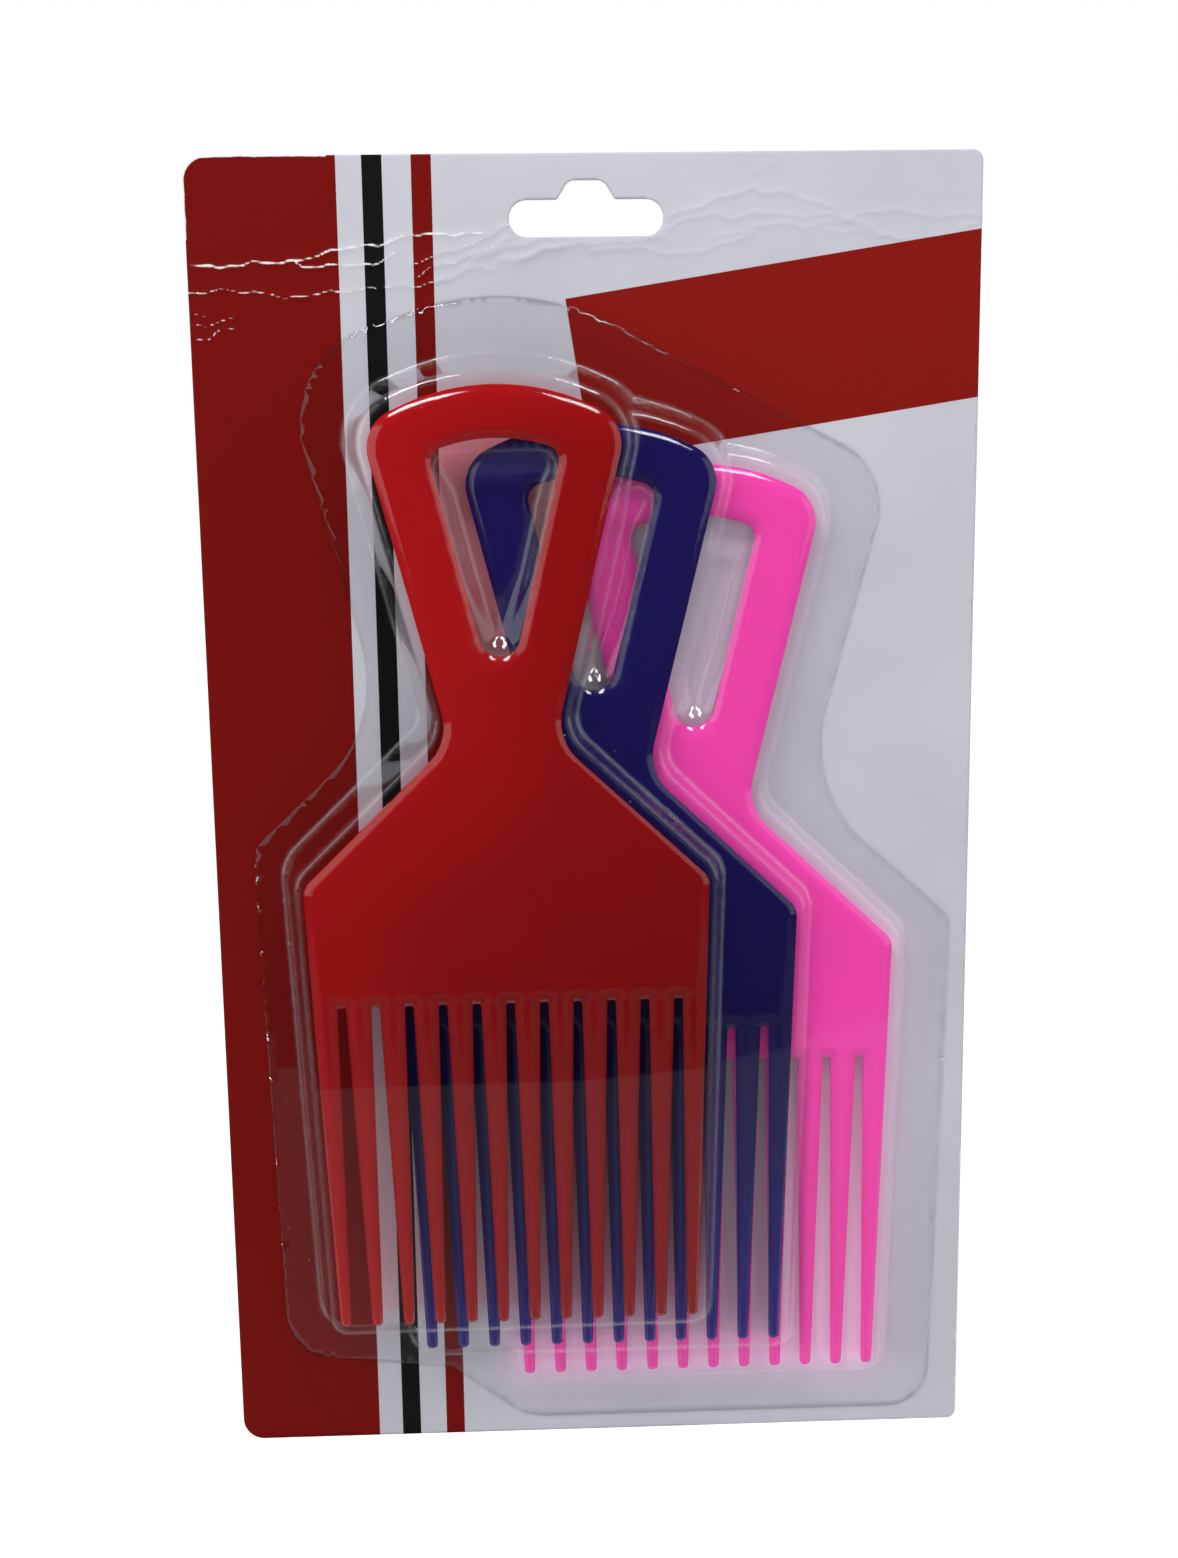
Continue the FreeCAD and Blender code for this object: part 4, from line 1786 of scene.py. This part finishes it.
@dataclass(frozen=True)
class TableGlow(Finish):
    """Light that a table gives back, bright close to the pack and dim in front.

    Attributes:
        near: Brightness close to the pack.
        far: Brightness in front.
        reach: Depths where the near light starts to fall and where it ends.
        name: Name of the material.
    """

    near: float
    far: float
    reach: tuple[float, float] = (-20.0, -36.0)
    name: str = "table_glow"

    def surface(self, sheet: NodeSheet) -> Wire:
        """Emission by depth in front of the card.

        Args:
            sheet: Sheet that takes the nodes.

        Returns:
            The shader.
        """
        _, depth, _ = sheet.axes()
        start, end = self.reach
        near = sheet.wire("ShaderNodeEmission", {}, {"Strength": self.near})
        far = sheet.wire("ShaderNodeEmission", {}, {"Strength": self.far})
        return sheet.blend(depth.ramp(end, start), far, near)


@dataclass
class Studio:
    """Floor, light and camera.

    Attributes:
        floor_reach: Half size of the floor.
        floor_drop: Gap between the card's foot and the floor.
        camera_place: Where the camera stands.
        camera_ahead: Direction it looks.
        camera_up: Its upward direction.
        lens: Focal length.
        sensor: Width of the sensor.
        nearest: Least distance that the camera sees.
        sky: Light from all around.
        mirrored_sky: Brightness of the surroundings in mirror-like surfaces.
        floor_glow: Glow that keeps the floor pale to the eye, near the pack and far off.
        table_glow: Brightness of the table that the film mirrors, near the pack and in front.
        table_edge: Front edge of that table, across and in depth.
        table_back: Depth of its back edge.
        table_rise: Height of the table above the card's foot.
        lamps: Lamps of the studio.
    """

    floor_reach: float = 6000.0
    floor_drop: float = 0.02
    camera_place: Place = (-13.854, -391.038, -45.237)
    camera_ahead: Place = (0.032536, 0.982652, -0.182582)
    camera_up: Place = (0.019502, 0.182020, 0.983101)
    lens: float = 44.94
    sensor: float = 36.0
    nearest: float = 10.0
    sky: float = 0.395
    mirrored_sky: float = 0.02
    floor_glow: tuple[float, float] = (0.5, 0.8)
    table_glow: tuple[float, float] = (0.9, 0.19)
    table_edge: Path = ((-400.0, -235.0), (0.0, -250.0), (60.0, -262.0), (130.0, -300.0), (400.0, -330.0))
    table_back: float = -2.0
    table_rise: float = 0.3
    lamps: tuple[Lamp, ...] = (
        Lamp("lamp_left", (-240.0, -330.0, 480.0), (0.0, 0.0, -130.0), 250.0, 110.0, 26.0),
        Lamp("lamp_right", (220.0, -330.0, 480.0), (0.0, 0.0, -130.0), 200.0, 110.0, 19.5),
        Lamp("softbox_left", (-650.0, -330.0, 55.0), (0.0, 0.0, -60.0), 560.0, 620.0, 1.5),
        Lamp("softbox_right", (650.0, -250.0, 55.0), (0.0, 0.0, -60.0), 440.0, 620.0, 1.2),
    )

    def build_floor(self) -> bpy.types.Object:
        """Adds a flat floor just under the card's foot.

        Returns:
            The floor, which mirror-like surfaces don't see.
        """
        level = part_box("backing_card")[0].z - self.floor_drop * METRE
        reach = self.floor_reach * METRE
        corners = [(across * reach, depth * reach, level)
                   for across, depth in ((-1, -1), (1, -1), (1, 1), (-1, 1))]
        mesh = bpy.data.meshes.new("floor")
        mesh.from_pydata(corners, [], [(0, 1, 2, 3)])
        made = linked("floor", mesh)
        made.data.materials.append(PaleFloor(*self.floor_glow).material())
        made.visible_glossy = False
        return made

    def build_table(self) -> bpy.types.Object:
        """Adds a pale table top in front of the pack.

        Returns:
            The table top, which only mirror-like surfaces see.
        """
        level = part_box("backing_card")[0].z + self.table_rise * METRE
        edge = np.array(self.table_edge) * METRE
        front = np.column_stack((edge, np.full(len(edge), level)))
        back = front * (1.0, 0.0, 1.0) + (0.0, self.table_back * METRE, 0.0)
        count = len(edge)
        faces = [(index, index + 1, count + index + 1, count + index) for index in range(count - 1)]
        mesh = bpy.data.meshes.new("mirrored_table")
        mesh.from_pydata(np.concatenate((front, back)).tolist(), [], faces)
        made = linked("mirrored_table", mesh)
        made.data.materials.append(TableGlow(*self.table_glow).material())
        made.visible_camera = False
        made.visible_diffuse = False
        made.visible_shadow = False
        return made

    def build_sky(self) -> None:
        """White surroundings for the eye, and dimmer ones for light and for mirror-like surfaces."""
        world = bpy.data.worlds.new("studio")
        bpy.context.scene.world = world
        world.use_nodes = True
        sheet = NodeSheet(world.node_tree)
        rays = sheet.node("ShaderNodeLightPath", {}, {})
        seen = Wire(sheet, rays.outputs["Is Camera Ray"])
        mirrored = Wire(sheet, rays.outputs["Is Glossy Ray"])
        strength = (1 - seen) * (1 - mirrored) * self.sky + seen + mirrored * self.mirrored_sky
        light = sheet.wire("ShaderNodeBackground", {}, {"Color": WHITE, "Strength": strength})
        sheet.node("ShaderNodeOutputWorld", {}, {"Surface": light})

    def build_camera(self) -> bpy.types.Object:
        """Adds the camera at the photograph's place.

        Returns:
            The camera, with its axes given directly.
        """
        data = bpy.data.cameras.new("camera")
        data.lens = self.lens
        data.sensor_width = self.sensor
        data.clip_start = self.nearest * METRE
        made = linked("camera", data)
        ahead, up = Vector(self.camera_ahead), Vector(self.camera_up)
        axes = Matrix((ahead.cross(up), up, -ahead)).transposed().to_4x4()
        axes.translation = Vector(self.camera_place) * METRE
        made.matrix_world = axes
        bpy.context.scene.camera = made
        return made

    def build(self) -> None:
        """Sets up the whole studio with plain colour handling."""
        self.build_floor()
        self.build_table()
        self.build_sky()
        for lamp in self.lamps:
            lamp.build()
        self.build_camera()
        bpy.context.scene.view_settings.view_transform = "Standard"


def main() -> None:
    """Builds the pieces in order, logs each one's face count, and sets up the studio."""
    logging.basicConfig(level=logging.INFO, format="%(name)s: %(message)s")
    pieces = [BackingCard().build(), Blister().build(), *PickSet().build()]
    for piece in pieces:
        LOG.info("%s, %d faces", piece.name, len(piece.data.polygons))
    Studio().build()
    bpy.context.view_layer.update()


if __name__ == "__main__":
    main()
